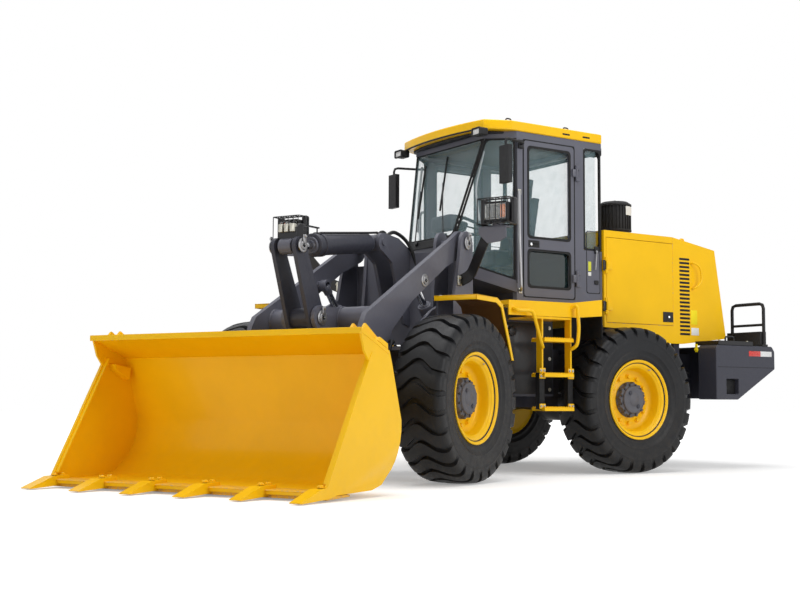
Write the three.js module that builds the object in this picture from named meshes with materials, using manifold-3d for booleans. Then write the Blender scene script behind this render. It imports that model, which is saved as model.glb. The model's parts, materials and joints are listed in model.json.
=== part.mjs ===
// Articulated wheel loader with a Z-bar bucket linkage, in millimetres.
// +X points forward along the rear frame, +Y to the left, +Z up.
// Every shape is first placed in the frame that carries it: the rear frame, or the front frame, whose
// own X axis turns with it.  Both have their origin on the ground under the articulation pivot.
import * as THREE from 'three';
import { mergeVertices } from 'three/addons/utils/BufferGeometryUtils.js';
import Module from 'manifold-3d';

const wasm = await Module();
wasm.setup();

// ---------- driving dimensions ----------
const SIDES = 24; // facets of a wheel
const PIN_SIDES = 20; // facets of a pin and of the hole it turns in, which line up when parked
const FIT = 0.3; // gap left between two parts that touch
const RUN = 6; // side clearance between parts that move past each other
const PARKED_TURN = 25; // degrees that the front frame is steered to the left
const FULL_LOCK = 37; // degrees of steering each way

const wheelRadius = 674; // to the flats of the tread
const wheelWidth = 444;
const rimSeat = 330;
const rimFlange = 367;
const rimHalf = 192;
const halfTrack = 975;
const frontAxleX = 1396;
const rearAxleX = -1461;
const hubFace = 22; // outboard of the wheel's centre plane

const pinR = 38;
const slimPinR = 32;
const plateT = 30;

const armPin = [561, 2033];
const armInner = 515;
const armOuter = 560;
const bucketPin = [2480, 235];
const crankPin = [2120, 1300];
const crankTop = [2350, 1850];
const crankFoot = [1840, 600];
const linkPin = [2545, 610];
const tiltBase = [1110, 2015];
const crankHalf = 120;
const crankPlate = 34;
const crossTube = [1800, 1300];
const crossTubeR = 105;

const liftBase = [372, 760];
const liftEye = [1190, 1655];
const liftY = 452;
const liftBarrelR = 54;
const tiltBarrelR = 62;
const rodR = 30;
const tiltRodR = 32;

const steerBase = [-600, 285];
const steerEye = [240, 265];
const steerZ = 720;
const steerBarrelR = 44;
const steerRodR = 22;

const hingeUpper = 985;
const hingeLower = 465;
const hingePlate = 38;
const hingeR = 105;
const railY = 400;
const railT = 32;
const railTop = 1150;
const innerPlateY = 345;
const outerPlateY = 590;

const bucketHalf = 1240;
const sideT = 24;
const teeth = 6;
const toothWidth = 95;
const lugT = 42;

const cabSide = 741;
const cabWall = 40;
const cabFloor = 1500;
const cabBack = -1400;
const bPost = [-437, -363];
const rearPost = [-1170, -1061];
const glassT = 8;
const paneSlope = 0.85; // how far the front quarter pane runs inward for each unit forward
const screenFoot = [80, 2160];
const screenHead = [-137, 3056];
const cabTop = 3120;
const steerWheelR = 200;
const roofT = 92;

const hoodSide = 760;
const hoodWall = 25;
const hoodFront = -1410;
const hoodTop = 2290;
const hoodBend = -2324;
const hoodTailTop = [-2924, 2196];
const hoodTailFoot = [-3080, 1302];
const doorGap = 5;
const doorSeamZ = 1405;
const doorTopZ = 2225;
const doorRearX = -2330;

const weightHalf = 1080;
const weightTop = 1220;
const weightFoot = 682;
const weightRear = -3436;
const weightFront = -2580;
const wellFront = -2900; // front of the counterweight between its wings
const wingInner = 840;

const deckOuter = 1100;
const deckFront = 17;
const deckRear = -1065;
const deckTop = 1530;
const deckT = 40;
const stepX = [-700, -370];
const stepZ = [598, 897, 1208];

// ---------- shapes ----------
function solidOf(geometry) {
  const bare = geometry.clone();
  bare.deleteAttribute('normal');
  bare.deleteAttribute('uv');
  const merged = mergeVertices(bare, 1e-3);
  const triVerts = new Uint32Array(merged.index.array);
  const vertProperties = new Float32Array(merged.attributes.position.array);
  let volume = 0;
  const a = new THREE.Vector3();
  const b = new THREE.Vector3();
  const c = new THREE.Vector3();
  for (let i = 0; i < triVerts.length; i += 3) {
    a.fromArray(vertProperties, 3 * triVerts[i]);
    b.fromArray(vertProperties, 3 * triVerts[i + 1]);
    c.fromArray(vertProperties, 3 * triVerts[i + 2]);
    volume += a.dot(b.cross(c));
  }
  if (volume < 0) triVerts.reverse(); // a profile drawn the other way round is turned face out
  return new wasm.Manifold(new wasm.Mesh({ numProp: 3, vertProperties, triVerts }));
}

function join(...solids) {
  return solids.reduce((whole, next) => whole.add(next));
}

function cut(solid, ...tools) {
  return tools.reduce((rest, tool) => rest.subtract(tool), solid);
}

function box(x0, x1, y0, y1, z0, z1) {
  const block = new THREE.BoxGeometry(Math.abs(x1 - x0), Math.abs(y1 - y0), Math.abs(z1 - z0));
  block.translate((x0 + x1) / 2, (y0 + y1) / 2, (z0 + z1) / 2);
  return solidOf(block);
}

function extruded(outline, depth) {
  const shape = new THREE.Shape(outline.map(([x, y]) => new THREE.Vector2(x, y)));
  return new THREE.ExtrudeGeometry(shape, { depth, bevelEnabled: false, curveSegments: 1 });
}

// An (x, z) outline made thick from y0 to y1.
function plate(outline, y0, y1) {
  const geometry = extruded(outline, Math.abs(y1 - y0));
  geometry.rotateX(Math.PI / 2);
  geometry.translate(0, Math.max(y0, y1), 0);
  return solidOf(geometry);
}

// An (x, y) outline made thick from z0 to z1.
function slab(outline, z0, z1) {
  const geometry = extruded(outline, z1 - z0);
  geometry.translate(0, 0, z0);
  return solidOf(geometry);
}

// Points of an arc about a centre, from one angle to another in degrees.
function arc([cx, cy], radius, from, to, steps = 6) {
  const points = [];
  for (let i = 0; i <= steps; i += 1) {
    const angle = THREE.MathUtils.degToRad(from + ((to - from) * i) / steps);
    points.push([cx + radius * Math.cos(angle), cy + radius * Math.sin(angle)]);
  }
  return points;
}

// A round bar between two points, with a flat facet facing down on a level bar.
function bar(from, to, radius, sides = PIN_SIDES) {
  const start = new THREE.Vector3(...from);
  const run = new THREE.Vector3(...to).sub(start);
  const geometry = new THREE.CylinderGeometry(radius, radius, run.length(), sides, 1);
  geometry.rotateY(Math.PI / sides);
  geometry.translate(0, run.length() / 2, 0);
  const turn = new THREE.Quaternion().setFromUnitVectors(new THREE.Vector3(0, 1, 0), run.normalize());
  geometry.applyQuaternion(turn);
  geometry.translate(...from);
  return solidOf(geometry);
}

function crossBar([x, z], y0, y1, radius, sides = PIN_SIDES) {
  return bar([x, Math.min(y0, y1), z], [x, Math.max(y0, y1), z], radius, sides);
}

function uprightBar([x, y], z0, z1, radius, sides = PIN_SIDES) {
  return bar([x, y, z0], [x, y, z1], radius, sides);
}

// The radius of a faceted hole in which a faceted pin can turn.
function boreFor(radius) {
  return radius / Math.cos(Math.PI / PIN_SIDES) + FIT;
}

// A profile of [radius, along] points turned about the bar from one point towards another.
function turned(profile, from, towards, sides = SIDES) {
  const geometry = new THREE.LatheGeometry(profile.map(([r, h]) => new THREE.Vector2(r, h)), sides);
  geometry.rotateY(Math.PI / sides);
  const start = new THREE.Vector3(...from);
  const run = new THREE.Vector3(...towards).sub(start).normalize();
  geometry.applyQuaternion(new THREE.Quaternion().setFromUnitVectors(new THREE.Vector3(0, 1, 0), run));
  geometry.translate(...from);
  return solidOf(geometry);
}

// A centre line of straight runs with a short bend at every corner.
class BentLine extends THREE.Curve {
  constructor(corners, bend) {
    super();
    const ends = corners.map((corner) => new THREE.Vector3(...corner));
    this.points = [ends[0]];
    for (let i = 1; i < ends.length - 1; i += 1) {
      const before = ends[i - 1].clone().sub(ends[i]).setLength(bend).add(ends[i]);
      const after = ends[i + 1].clone().sub(ends[i]).setLength(bend).add(ends[i]);
      const middle = before.clone().add(after).multiplyScalar(0.25).addScaledVector(ends[i], 0.5);
      this.points.push(before, middle, after);
    }
    this.points.push(ends[ends.length - 1]);
  }

  getPoint(t, target = new THREE.Vector3()) {
    const last = this.points.length - 1;
    const index = Math.min(Math.floor(t * last + 1e-9), last - 1);
    return target.lerpVectors(this.points[index], this.points[index + 1], t * last - index);
  }

  getPointAt(t, target) {
    return this.getPoint(t, target);
  }

  getTangent(t, target = new THREE.Vector3()) {
    const last = this.points.length - 1;
    const index = Math.round(t * last);
    const before = this.points[Math.max(index - 1, 0)];
    const after = this.points[Math.min(index + 1, last)];
    return target.copy(after).sub(before).normalize();
  }

  getTangentAt(t, target) {
    return this.getTangent(t, target);
  }
}

function bentTube(corners, radius, bend, sides = 8) {
  const line = new BentLine(corners, bend);
  const section = new THREE.Shape(arc([0, 0], radius, 0, 360 - 360 / sides, sides - 1)
    .map(([x, y]) => new THREE.Vector2(x, y)));
  return solidOf(new THREE.ExtrudeGeometry(section, {
    steps: line.points.length - 1, extrudePath: line, bevelEnabled: false }));
}

// ---------- materials ----------
function paint(colour, roughness, metalness) {
  return () => new THREE.MeshStandardMaterial({ color: colour, roughness, metalness });
}

const yellow = paint(0xf5b90a, 0.35, 0);
const charcoal = paint(0x4b4c55, 0.45, 0.1);
const black = paint(0x1b1c1f, 0.5, 0);
const rubber = paint(0x2a2b2e, 0.85, 0);
const chrome = paint(0xc8cbd0, 0.15, 1);
const steel = paint(0x6a6c70, 0.4, 0.6);
const glass = paint(0x8fb0b4, 0.05, 0);
const fabric = paint(0x2c2d31, 0.9, 0);
const lampWhite = paint(0xd9d9d2, 0.3, 0);

function piece(name, solid, material) {
  const mesh = solid.getMesh();
  const geometry = new THREE.BufferGeometry();
  geometry.setAttribute('position', new THREE.BufferAttribute(new Float32Array(mesh.vertProperties), 3));
  geometry.setIndex(new THREE.BufferAttribute(new Uint32Array(mesh.triVerts), 1));
  geometry.computeVertexNormals();
  const part = new THREE.Mesh(geometry, material());
  part.name = name;
  return part;
}

// A moving body: a group whose origin is its joint's place, holding parts given in the carrying frame.
function body(name, origin, ...parts) {
  const group = new THREE.Group();
  group.name = name;
  group.position.set(...origin);
  for (const part of parts) {
    part.position.x -= origin[0];
    part.position.y -= origin[1];
    part.position.z -= origin[2];
    group.add(part);
  }
  return group;
}

// ---------- wheels and axles ----------
function tyre(x, side) {
  const tread = wheelRadius / Math.cos(Math.PI / SIDES);
  const bead = rimSeat + FIT / Math.cos(Math.PI / SIDES);
  const half = wheelWidth / 2;
  const outside = [[bead, 170], [374, 178], [540, half], [632, half - 18], [tread, 150]];
  const inside = [[bead, 140], [430, 178], [622, 130]];
  const mirrored = (points) => points.map(([r, w]) => [r, -w]).reverse();
  const profile = [...outside, ...mirrored(outside), ...mirrored(inside).reverse(), ...inside.reverse()];
  return turned([...profile, profile[0]], [x, side * halfTrack, wheelRadius],
    [x, side * (halfTrack + 1), wheelRadius]);
}

function rim(x, side) {
  const barrelR = 316;
  const hubR = 140;
  const hubCap = 150;
  const disc = hubFace + 24;
  const profile = [
    [0, hubFace], [barrelR, hubFace], [barrelR, -rimHalf + 4], [rimFlange, -rimHalf],
    [rimFlange, -rimHalf + 10], [rimSeat, -rimHalf + 16], [rimSeat, rimHalf - 16],
    [rimFlange, rimHalf - 10], [rimFlange, rimHalf], [325, 100], [300, disc], [hubR, disc],
    [hubR, hubCap - 30], [0, hubCap]];
  return turned(profile, [x, side * halfTrack, wheelRadius], [x, side * (halfTrack + 1), wheelRadius]);
}

function wheel(name, x, side) {
  return body(`${name}_wheel`, [x, side * halfTrack, wheelRadius],
    piece(`${name}_tyre`, tyre(x, side), rubber), piece(`${name}_rim`, rim(x, side), yellow));
}

const axlePad = 800;
// A drive axle: a turned housing with two frame pads, and the nose and shaft that run to the pivot.
function axle(x, noseTo) {
  const end = halfTrack + hubFace - 0.5;
  const half = [[0, end], [150, end], [150, end - 60], [205, end - 90], [205, end - 130], [120, end - 190],
    [95, 520], [110, 300], [205, 120]];
  const profile = [...half, ...half.map(([r, h]) => [r, -h]).reverse()];
  const housing = turned(profile, [x, 0, wheelRadius], [x, 1, wheelRadius]);
  const pads = [-1, 1].map((side) => box(x - 110, x + 110, side * 300, side * 440, wheelRadius, axlePad));
  const nose = bar([x, 0, wheelRadius], [noseTo, 0, wheelRadius], 90, 12);
  const shaftTo = noseTo + Math.sign(noseTo - x) * 420;
  const shaft = bar([noseTo, 0, wheelRadius], [shaftTo, 0, wheelRadius], 45, 12);
  return join(housing, ...pads, nose, shaft);
}

// ---------- front frame ----------
const towerRear = 150;

// The tall plate inboard of a boom arm: notched at the back for the steering cylinder.
function innerPlate(side) {
  const outline = [[towerRear, 425], [towerRear, 665], [300, 665], [300, 800], [towerRear, 830],
    [towerRear, 1040], [330, 1180], [440, 1500], ...arc(armPin, 112, 180, 0), [700, 1700],
    [760, 1250], [1050, 1120], [1570, 1040], [1570, axlePad + FIT],
    [1225, axlePad + FIT], [1150, 640], [900, 520], [420, 425]];
  return plate(outline, side * innerPlateY, side * (innerPlateY + plateT));
}

// The shorter plate outboard of a boom arm.
function outerPlate(side) {
  const outline = [[440, 1060], ...arc(armPin, 108, 180, 0), [700, 1850], [780, 1560],
    [1180, 1400], [1500, 1190], [1500, 1060]];
  return plate(outline, side * outerPlateY, side * (outerPlateY + plateT));
}

// One of the two plates that hold the base of the tilt cylinder.
function tiltBracket(side) {
  const outline = [[650, 1300], [650, 1990], [860, 2075], ...arc(tiltBase, 82, 95, -85), [960, 1850],
    [760, 1330]];
  return plate(outline, side * 72, side * 102);
}

const hingeBore = boreFor(pinR);
// A flat eye of the articulation hinge, rounded at the pivot and rooted at a distance from it.
function hingeLug(towards, z0, z1, reach) {
  const turn = towards > 0 ? 90 : -90;
  const end = arc([0, 0], hingeR, turn, turn + 180, 10);
  const root = towards > 0 ? [[reach, -250], [reach, 250]] : [[-reach, 250], [-reach, -250]];
  return slab([...end, ...root], z0, z1);
}

function frontFrame() {
  const parts = [];
  for (const side of [-1, 1]) {
    parts.push(innerPlate(side), outerPlate(side));
    const from = side * (innerPlateY + plateT - 5);
    const to = side * (outerPlateY + 5);
    parts.push(box(440, 462, from, to, 1260, 1900)); // back of the tower, behind the lift cylinder
    parts.push(box(790, 1500, from, to, 1065, 1095)); // shelf under the boom arm
    parts.push(crossBar(armPin, side * (innerPlateY + 5), side * (outerPlateY + plateT + 12), pinR));
    parts.push(crossBar(liftBase, side * (innerPlateY + 5), side * 520, slimPinR));
    parts.push(plate([[300, 640], [300, 830], [440, 830], [440, 640]], side * 512, side * 537));
    parts.push(box(300, 440, from, side * 537, 640, 680)); // shelf that carries the lift cylinder's foot
    parts.push(tiltBracket(side));
    const lug = slab([[towerRear + 20, side * 180], [towerRear + 20, side * 350],
      [300, side * 350], [300, side * 200]], steerZ - 90, steerZ - 60);
    parts.push(lug);
    parts.push(uprightBar([steerEye[0], side * steerEye[1]], steerZ - 70, steerZ - 28, 30));
  }
  const across = innerPlateY + 5;
  parts.push(box(towerRear, towerRear + plateT, -across, across, 860, 1040));
  parts.push(box(towerRear, towerRear + plateT, -across, across, 425, 560));
  parts.push(box(640, 640 + plateT, -across, across, 1150, 1960));
  parts.push(box(towerRear, 1000, -across, across, 1010, 1040));
  parts.push(box(towerRear, 900, -across, across, 500, 530));
  parts.push(box(1480, 1510, -across, across, 900, 1040));
  parts.push(crossBar(tiltBase, -115, 115, slimPinR));
  parts.push(hingeLug(1, hingeUpper - hingePlate - RUN, hingeUpper - RUN, 200));
  parts.push(hingeLug(1, hingeLower + RUN, hingeLower + hingePlate + RUN, 200));
  return cut(join(...parts), uprightBar([0, 0], 300, 1100, hingeBore));
}

// A folded sheet over the front wheel, with a deep outer edge, on a post from the tower.
function frontFender(side) {
  const inner = 725;
  const outer = 1120;
  const skin = 10;
  const lip = 42;
  const line = [[1323, 1510], [959, 1507], [854, 1457], [650, 995]];
  const under = (depth) => [[650 + depth * 0.9, 995], [854 + depth * 0.7, 1457 - depth * 0.7],
    [959 + depth * 0.3, 1507 - depth], [1323, 1510 - depth]];
  const sheet = plate([...line, ...under(skin)], side * inner, side * outer);
  const edge = plate([...line, ...under(lip)], side * (outer - skin), side * outer);
  const front = box(1323 - skin, 1323, side * inner, side * outer, 1510 - lip, 1510);
  const post = box(1040, 1300, side * (outerPlateY + plateT + FIT), side * (inner + 25), 1240, 1270);
  const web = plate([[1040, 1240], [1040, 1507 - 4], [1300, 1510 - 4], [1300, 1240]], side * (inner + 5),
    side * (inner + 25));
  return join(sheet, edge, front, post, web);
}

const lampCentre = [840, 1070, 2240];
// A lamp box on a shelf at the top of an arm that is bolted to the tower.
function headlamp(side) {
  const [u, v, z] = lampCentre;
  const y = side * v;
  const foot = side * (outerPlateY + plateT + FIT);
  const arm = bentTube([[700, foot + side * 8, 1690], [715, side * 740, 1730], [u, side * 960, 2050]], 22,
    60, 6);
  const pad = box(660, 740, foot, foot + side * 20, 1650, 1730);
  const shelf = box(u - 60, u + 40, side * (v - 170), side * (v + 90), 2030, 2110);
  const stem = box(u - 30, u + 30, y - 40, y + 40, 2100, 2170);
  const lens = box(u - 70, u + 50, y - 150, y + 150, z - 85, z + 85);
  return join(arm, pad, shelf, stem, lens);
}

// ---------- boom and bucket linkage ----------
function boomArm(side) {
  const outline = [...arc(armPin, 112, 250, 65, 8), [700, 2075], [1980, 1385], [2080, 1330],
    [2130, 1250], ...arc(bucketPin, 82, 35, -150, 8), [2120, 560], [1830, 1010], [1700, 1215],
    [1390, 1470], [830, 1800]];
  return cut(plate(outline, side * armInner, side * armOuter),
    crossBar(armPin, side * 400, side * 700, boreFor(pinR)),
    crossBar(bucketPin, side * 400, side * 700, boreFor(pinR)));
}

function boom() {
  const parts = [];
  const bracketIn = crankHalf + RUN;
  for (const side of [-1, 1]) {
    parts.push(boomArm(side));
    const outline = [...arc(crankPin, 98, -70, 110, 8), [1790, 1300 + crossTubeR - 8],
      [1790, 1300 - crossTubeR + 8]];
    parts.push(plate(outline, side * bracketIn, side * (bracketIn + 36)));
    parts.push(crossBar(liftEye, side * (liftY + 34 + RUN), side * (armInner + 10), 44));
  }
  parts.push(crossBar(crossTube, -armInner - 5, armInner + 5, crossTubeR));
  parts.push(crossBar(crankPin, -bracketIn - 45, bracketIn + 45, pinR));
  return join(...parts);
}

// A flat link between two eyes.
function linkOutline([ax, az], ra, [bx, bz], rb) {
  const angle = THREE.MathUtils.radToDeg(Math.atan2(bz - az, bx - ax));
  return [...arc([bx, bz], rb, angle - 90, angle + 90, 8), ...arc([ax, az], ra, angle + 90, angle + 270, 8)];
}

function crank() {
  const parts = [];
  for (const side of [-1, 1]) {
    const near = side * (crankHalf - crankPlate);
    const far = side * crankHalf;
    parts.push(plate(linkOutline(crankPin, 105, crankTop, 72), near, far));
    parts.push(plate(linkOutline(crankPin, 105, crankFoot, 72), near, far));
    parts.push(crossBar(crankTop, far - side * 5, far + side * 22, 40, 10));
    parts.push(crossBar(crankFoot, far - side * 5, far + side * 20, slimPinR));
  }
  parts.push(crossBar(crankPin, -crankHalf + 5, crankHalf - 5, 80));
  return cut(join(...parts), crossBar(crankPin, -crankHalf - 10, crankHalf + 10, boreFor(pinR)));
}

const linkHalf = crankHalf - crankPlate - RUN;
function pushLink() {
  return cut(plate(linkOutline(crankFoot, 68, linkPin, 62), -linkHalf + 20, linkHalf - 20),
    crossBar(linkPin, -linkHalf - 5, linkHalf + 5, boreFor(slimPinR)));
}

function bucketSection() {
  const outside = [[3600, 37], [3050, 50], [2930, 80], ...arc([3080, 480], 408, 238, 175, 6), [2800, 905],
    [2835, 995], [3206, 1141]];
  const inside = [[3215, 1118], [2850, 975], [2820, 905], ...arc([3080, 480], 388, 175, 238, 6),
    [2940, 100], [3055, 72], [3600, 62]];
  return [...outside, ...inside];
}

function bucketSide() {
  return [[3583, 81], [3560, 37], [3050, 50], [2930, 80], ...arc([3080, 480], 408, 238, 175, 6),
    [2800, 905], [2841, 970], [3059, 983]];
}

// An eye on the back of the bucket: the arc runs round the side away from the shell.
const armLug = { pin: bucketPin, radius: 86, from: 285, to: 60,
  root: arc([3080, 480], 398, 160, 228, 4) };
const linkLug = { pin: linkPin, radius: 70, from: 280, to: 80, root: [[2690, 720], [2690, 500]] };
function bucketLug(lug, y0, y1) {
  return plate([...arc(lug.pin, lug.radius, lug.from, lug.to, 8), ...lug.root], y0, y1);
}

function bucket() {
  const parts = [plate(bucketSection(), -bucketHalf, bucketHalf)];
  for (const side of [-1, 1]) {
    parts.push(plate(bucketSide(), side * (bucketHalf - sideT), side * bucketHalf));
    parts.push(bucketLug(armLug, side * (armInner - RUN), side * (armInner - RUN - lugT)));
    parts.push(bucketLug(armLug, side * (armOuter + RUN), side * (armOuter + RUN + lugT)));
    parts.push(crossBar(bucketPin, side * (armInner - RUN - 50), side * (armOuter + RUN + 50), pinR));
    parts.push(bucketLug(linkLug, side * (linkHalf - 20 + RUN), side * (linkHalf + 16 + RUN)));
  }
  parts.push(crossBar(linkPin, -linkHalf - 38 - RUN, linkHalf + 38 + RUN, slimPinR));
  for (let i = 0; i < teeth; i += 1) {
    const y = -bucketHalf + toothWidth / 2 + (i * (2 * bucketHalf - toothWidth)) / (teeth - 1);
    parts.push(plate([[3480, 62], [3480, 95], [3640, 88], [3860, 14], [3850, 8], [3560, 22], [3480, 36]],
      y - toothWidth / 2, y + toothWidth / 2));
  }
  return join(...parts);
}

// ---------- hydraulic cylinders ----------
function along(from, to, distance) {
  const start = new THREE.Vector3(...from);
  const run = new THREE.Vector3(...to).sub(start);
  return start.addScaledVector(run.normalize(), distance).toArray();
}

// The barrel has an eye at its base and an open bore for its rod.
function barrel(base, eye, radius, rodRadius, length, eyeR, eyeHalf, pin, upright) {
  const bore = rodRadius + FIT;
  const floor = eyeR + 40;
  const profile = [[0, eyeR * 0.6], [radius, eyeR * 0.6], [radius, length], [bore, length], [bore, floor],
    [0, floor]];
  const axis = upright ? [0, 0, 1] : [0, 1, 0];
  const end = (sign, reach) => base.map((value, i) => value + sign * reach * axis[i]);
  const tubePart = turned(profile, base, eye, 16);
  const knuckle = bar(end(-1, eyeHalf), end(1, eyeHalf), eyeR);
  return cut(join(tubePart, knuckle), bar(end(-1, eyeHalf + 5), end(1, eyeHalf + 5), boreFor(pin)));
}

function rodPart(base, eye, rodRadius, inside, eyeR, eyeHalf, upright) {
  const axis = upright ? [0, 0, 1] : [0, 1, 0];
  const end = (sign) => eye.map((value, i) => value + sign * eyeHalf * axis[i]);
  const total = new THREE.Vector3(...base).distanceTo(new THREE.Vector3(...eye));
  const profile = [[0, inside], [rodRadius, inside], [rodRadius, total], [0, total]];
  return join(turned(profile, base, eye, 16), bar(end(-1), end(1), eyeR));
}

function cylinder(name, base, eye, size) {
  const upright = size.upright === true;
  const barrelSolid = barrel(base, eye, size.barrelR, size.rodR, size.length, size.eyeR, size.eyeHalf,
    size.pin, upright);
  const rodSolid = rodPart(base, eye, size.rodR, size.inside, size.rodEyeR, size.rodEyeHalf, upright);
  const rodBody = body(`${name}_rod_body`, eye, piece(`${name}_rod`, rodSolid, chrome));
  return body(`${name}_barrel_body`, base, piece(`${name}_barrel`, barrelSolid, charcoal), rodBody);
}

// ---------- rear frame ----------
const outriggerY = 725;
const hangerZ = 1365;

function rail(side) {
  const outline = [[-200, 600], [-200, railTop], [wellFront + FIT, railTop], [wellFront + FIT, 720],
    [-1820, 720], [-1720, axlePad + FIT], [-1200, axlePad + FIT], [-1120, 600]];
  return plate(outline, side * railY, side * (railY + railT));
}

function rearFrame() {
  const parts = [];
  for (const side of [-1, 1]) {
    parts.push(rail(side));
    const out = side * (railY + railT - 5);
    parts.push(box(-730, -150, out, side * 800, 700, 1380)); // tank beside the rail
    const underCab = side * (cabSide - 41);
    const underHood = side * (hoodSide - hoodWall - FIT);
    const postInner = side * 690;
    parts.push(box(-1180, -1120, out, underCab, 1100, 1180)); // outriggers under the cab and the hood
    parts.push(box(-1560, -1480, out, side * outriggerY, 1100, 1180));
    parts.push(box(-2440, -2360, out, side * outriggerY, 1100, 1180));
    parts.push(box(-1180, -1120, side * (cabSide - 121), underCab, 1100, cabFloor - FIT));
    parts.push(box(-300, -200, side * (cabSide - 181), side * (cabSide - 81), 1370, cabFloor - FIT));
    parts.push(box(-1560, -1480, postInner, side * outriggerY, 1100, 1390));
    parts.push(box(-1560, -1480, postInner, underHood, hangerZ, 1390)); // reaches out above the tyre
    parts.push(box(-2440, -2360, postInner, side * outriggerY, 1100, 1300));
    parts.push(box(-2440, -2360, postInner, underHood, 1240, 1300));
    parts.push(box(-460, -225, side * (railY + 5), side * 200, steerZ - 110, steerZ - 80));
    parts.push(box(steerBase[0] - 60, -400, side * (railY + 5), side * 200, steerZ - 110, steerZ - 60));
    parts.push(uprightBar([steerBase[0], side * steerBase[1]], steerZ - 90, steerZ + 60, 26));
  }
  const across = railY + 5;
  parts.push(box(-230, -200, -across, across, 860, railTop));
  parts.push(box(-230, -200, -across, across, 600, 640));
  parts.push(box(-1120, -200, -across, across, 600, 630));
  parts.push(box(-1180, -1150, -across, across, 860, railTop));
  parts.push(box(-1750, -1600, -across, across, 1080, 1120));
  parts.push(box(wellFront + FIT, -2860, -across, across, 720, railTop));
  parts.push(box(-2600, -2500, -across, across, 900, 940));
  parts.push(hingeLug(-1, hingeUpper, hingeUpper + hingePlate, 215));
  parts.push(hingeLug(-1, hingeLower - hingePlate, hingeLower, 240));
  parts.push(slab([[-240, -200], [-240, 200], [-200, 200], [-200, -200]], hingeLower - hingePlate, 640));
  parts.push(uprightBar([0, 0], hingeUpper - hingePlate - 2 * RUN, hingeUpper + hingePlate + 12, pinR));
  parts.push(uprightBar([0, 0], hingeLower - hingePlate - 12, hingeLower + hingePlate + 2 * RUN, pinR));
  return join(...parts);
}

function engine() {
  return box(-2450, -1650, -330, 330, 1120 + FIT, 1750);
}

function counterweight() {
  const outline = [[weightFront, weightFoot], [weightFront, weightTop - 30], [weightFront - 30, weightTop],
    [weightRear + 40, weightTop], [weightRear, weightTop - 50], [weightRear, 990], [-2890, weightFoot]];
  const block = plate(outline, -weightHalf, weightHalf);
  const well = box(weightFront + 10, wellFront, -wingInner, wingInner, 600, 1300);
  const pocket = (side) => box(-2897, -2725, side * (weightHalf + 5), side * (weightHalf - 60), 737, 885);
  return cut(block, well, pocket(1), pocket(-1));
}

function hoodBody() {
  const outer = [[hoodFront, 1360], [hoodFront, hoodTop], [hoodBend, hoodTop], hoodTailTop, hoodTailFoot,
    [-2457, 1231], [-2153, 1232], [-1870, 1349]];
  const inner = [[hoodFront + 5, 1200], [hoodFront + 5, hoodTop - hoodWall], [hoodBend, hoodTop - hoodWall],
    [hoodTailTop[0] + hoodWall, hoodTailTop[1] - hoodWall], [hoodTailFoot[0] + hoodWall, 1200]];
  const shell = cut(plate(outer, -hoodSide, hoodSide),
    plate(inner, -hoodSide + hoodWall, hoodSide - hoodWall));
  const front = plate([[hoodFront, 1380], [hoodFront, hoodTop - 10], [hoodFront - hoodWall, hoodTop - 10],
    [hoodFront - hoodWall, 1380]], -hoodSide + 10, hoodSide - 10);
  const doorway = (side) => box(hoodFront - 25, doorRearX, side * (hoodSide - hoodWall - 5),
    side * (hoodSide + 5), doorSeamZ, doorTopZ);
  const ledge = (side) => box(hoodFront - hoodWall - 30, hoodFront - 5, side * 600, side * (hoodSide - 10),
    1391, 1440);
  return cut(join(shell, front, ledge(1), ledge(-1)), doorway(1), doorway(-1), tailOpening());
}

const tailHalf = 600;
const tailTopZ = 2120;
const tailFootZ = 1370;
// How far back the hood's sloping tail stands at a height.
function tailX(z) {
  const [x0, z0] = hoodTailTop;
  const [x1, z1] = hoodTailFoot;
  return x0 + ((z - z0) * (x1 - x0)) / (z1 - z0);
}

function tailOpening() {
  const deep = 60;
  const outline = [[tailX(tailTopZ) - 20, tailTopZ], [tailX(tailTopZ) + deep, tailTopZ],
    [tailX(tailFootZ) + deep, tailFootZ], [tailX(tailFootZ) - 20, tailFootZ]];
  return plate(outline, -tailHalf, tailHalf);
}

const tailAxis = [tailX(tailTopZ) - 16, 0, tailTopZ + 4];
const tailHingeY = 400;
const hingeKnuckle = 13;
function tailDoor() {
  const top = tailTopZ - doorGap;
  const foot = tailFootZ + doorGap;
  const outline = [[tailX(top), top], [tailX(top) + hoodWall, top], [tailX(foot) + hoodWall, foot],
    [tailX(foot), foot]];
  const panel = plate(outline, -tailHalf + doorGap, tailHalf - doorGap);
  const [x, , z] = tailAxis;
  const low = z - 60;
  const tongue = [[x - 5, z], [x + 12, z], [tailX(low) + 4, low], [tailX(low) - 12, low]];
  const leaf = (y) => join(crossBar([x, z], y - 30, y + 30, hingeKnuckle, 8), plate(tongue, y - 30, y + 30));
  return join(panel, leaf(-tailHingeY), leaf(tailHingeY));
}

const sideDoorAxis = [hoodFront - 27, hoodSide + 15];
const sideHingeZ = [1560, 1950];
function sideDoor(side) {
  const panel = box(hoodFront - 25 - doorGap, doorRearX + doorGap, side * (hoodSide - hoodWall),
    side * hoodSide, doorSeamZ + doorGap, doorTopZ - doorGap);
  const [x, y] = sideDoorAxis;
  const leaf = (z) => join(uprightBar([x, side * y], z - 40, z + 40, hingeKnuckle, 8),
    box(x, x - 60, side * (hoodSide + 2), side * (y + 5), z - 40, z + 40),
    box(x - 20, x - 60, side * (hoodSide - 5), side * (y + 5), z - 40, z + 40));
  return join(panel, ...sideHingeZ.map(leaf));
}

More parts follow.
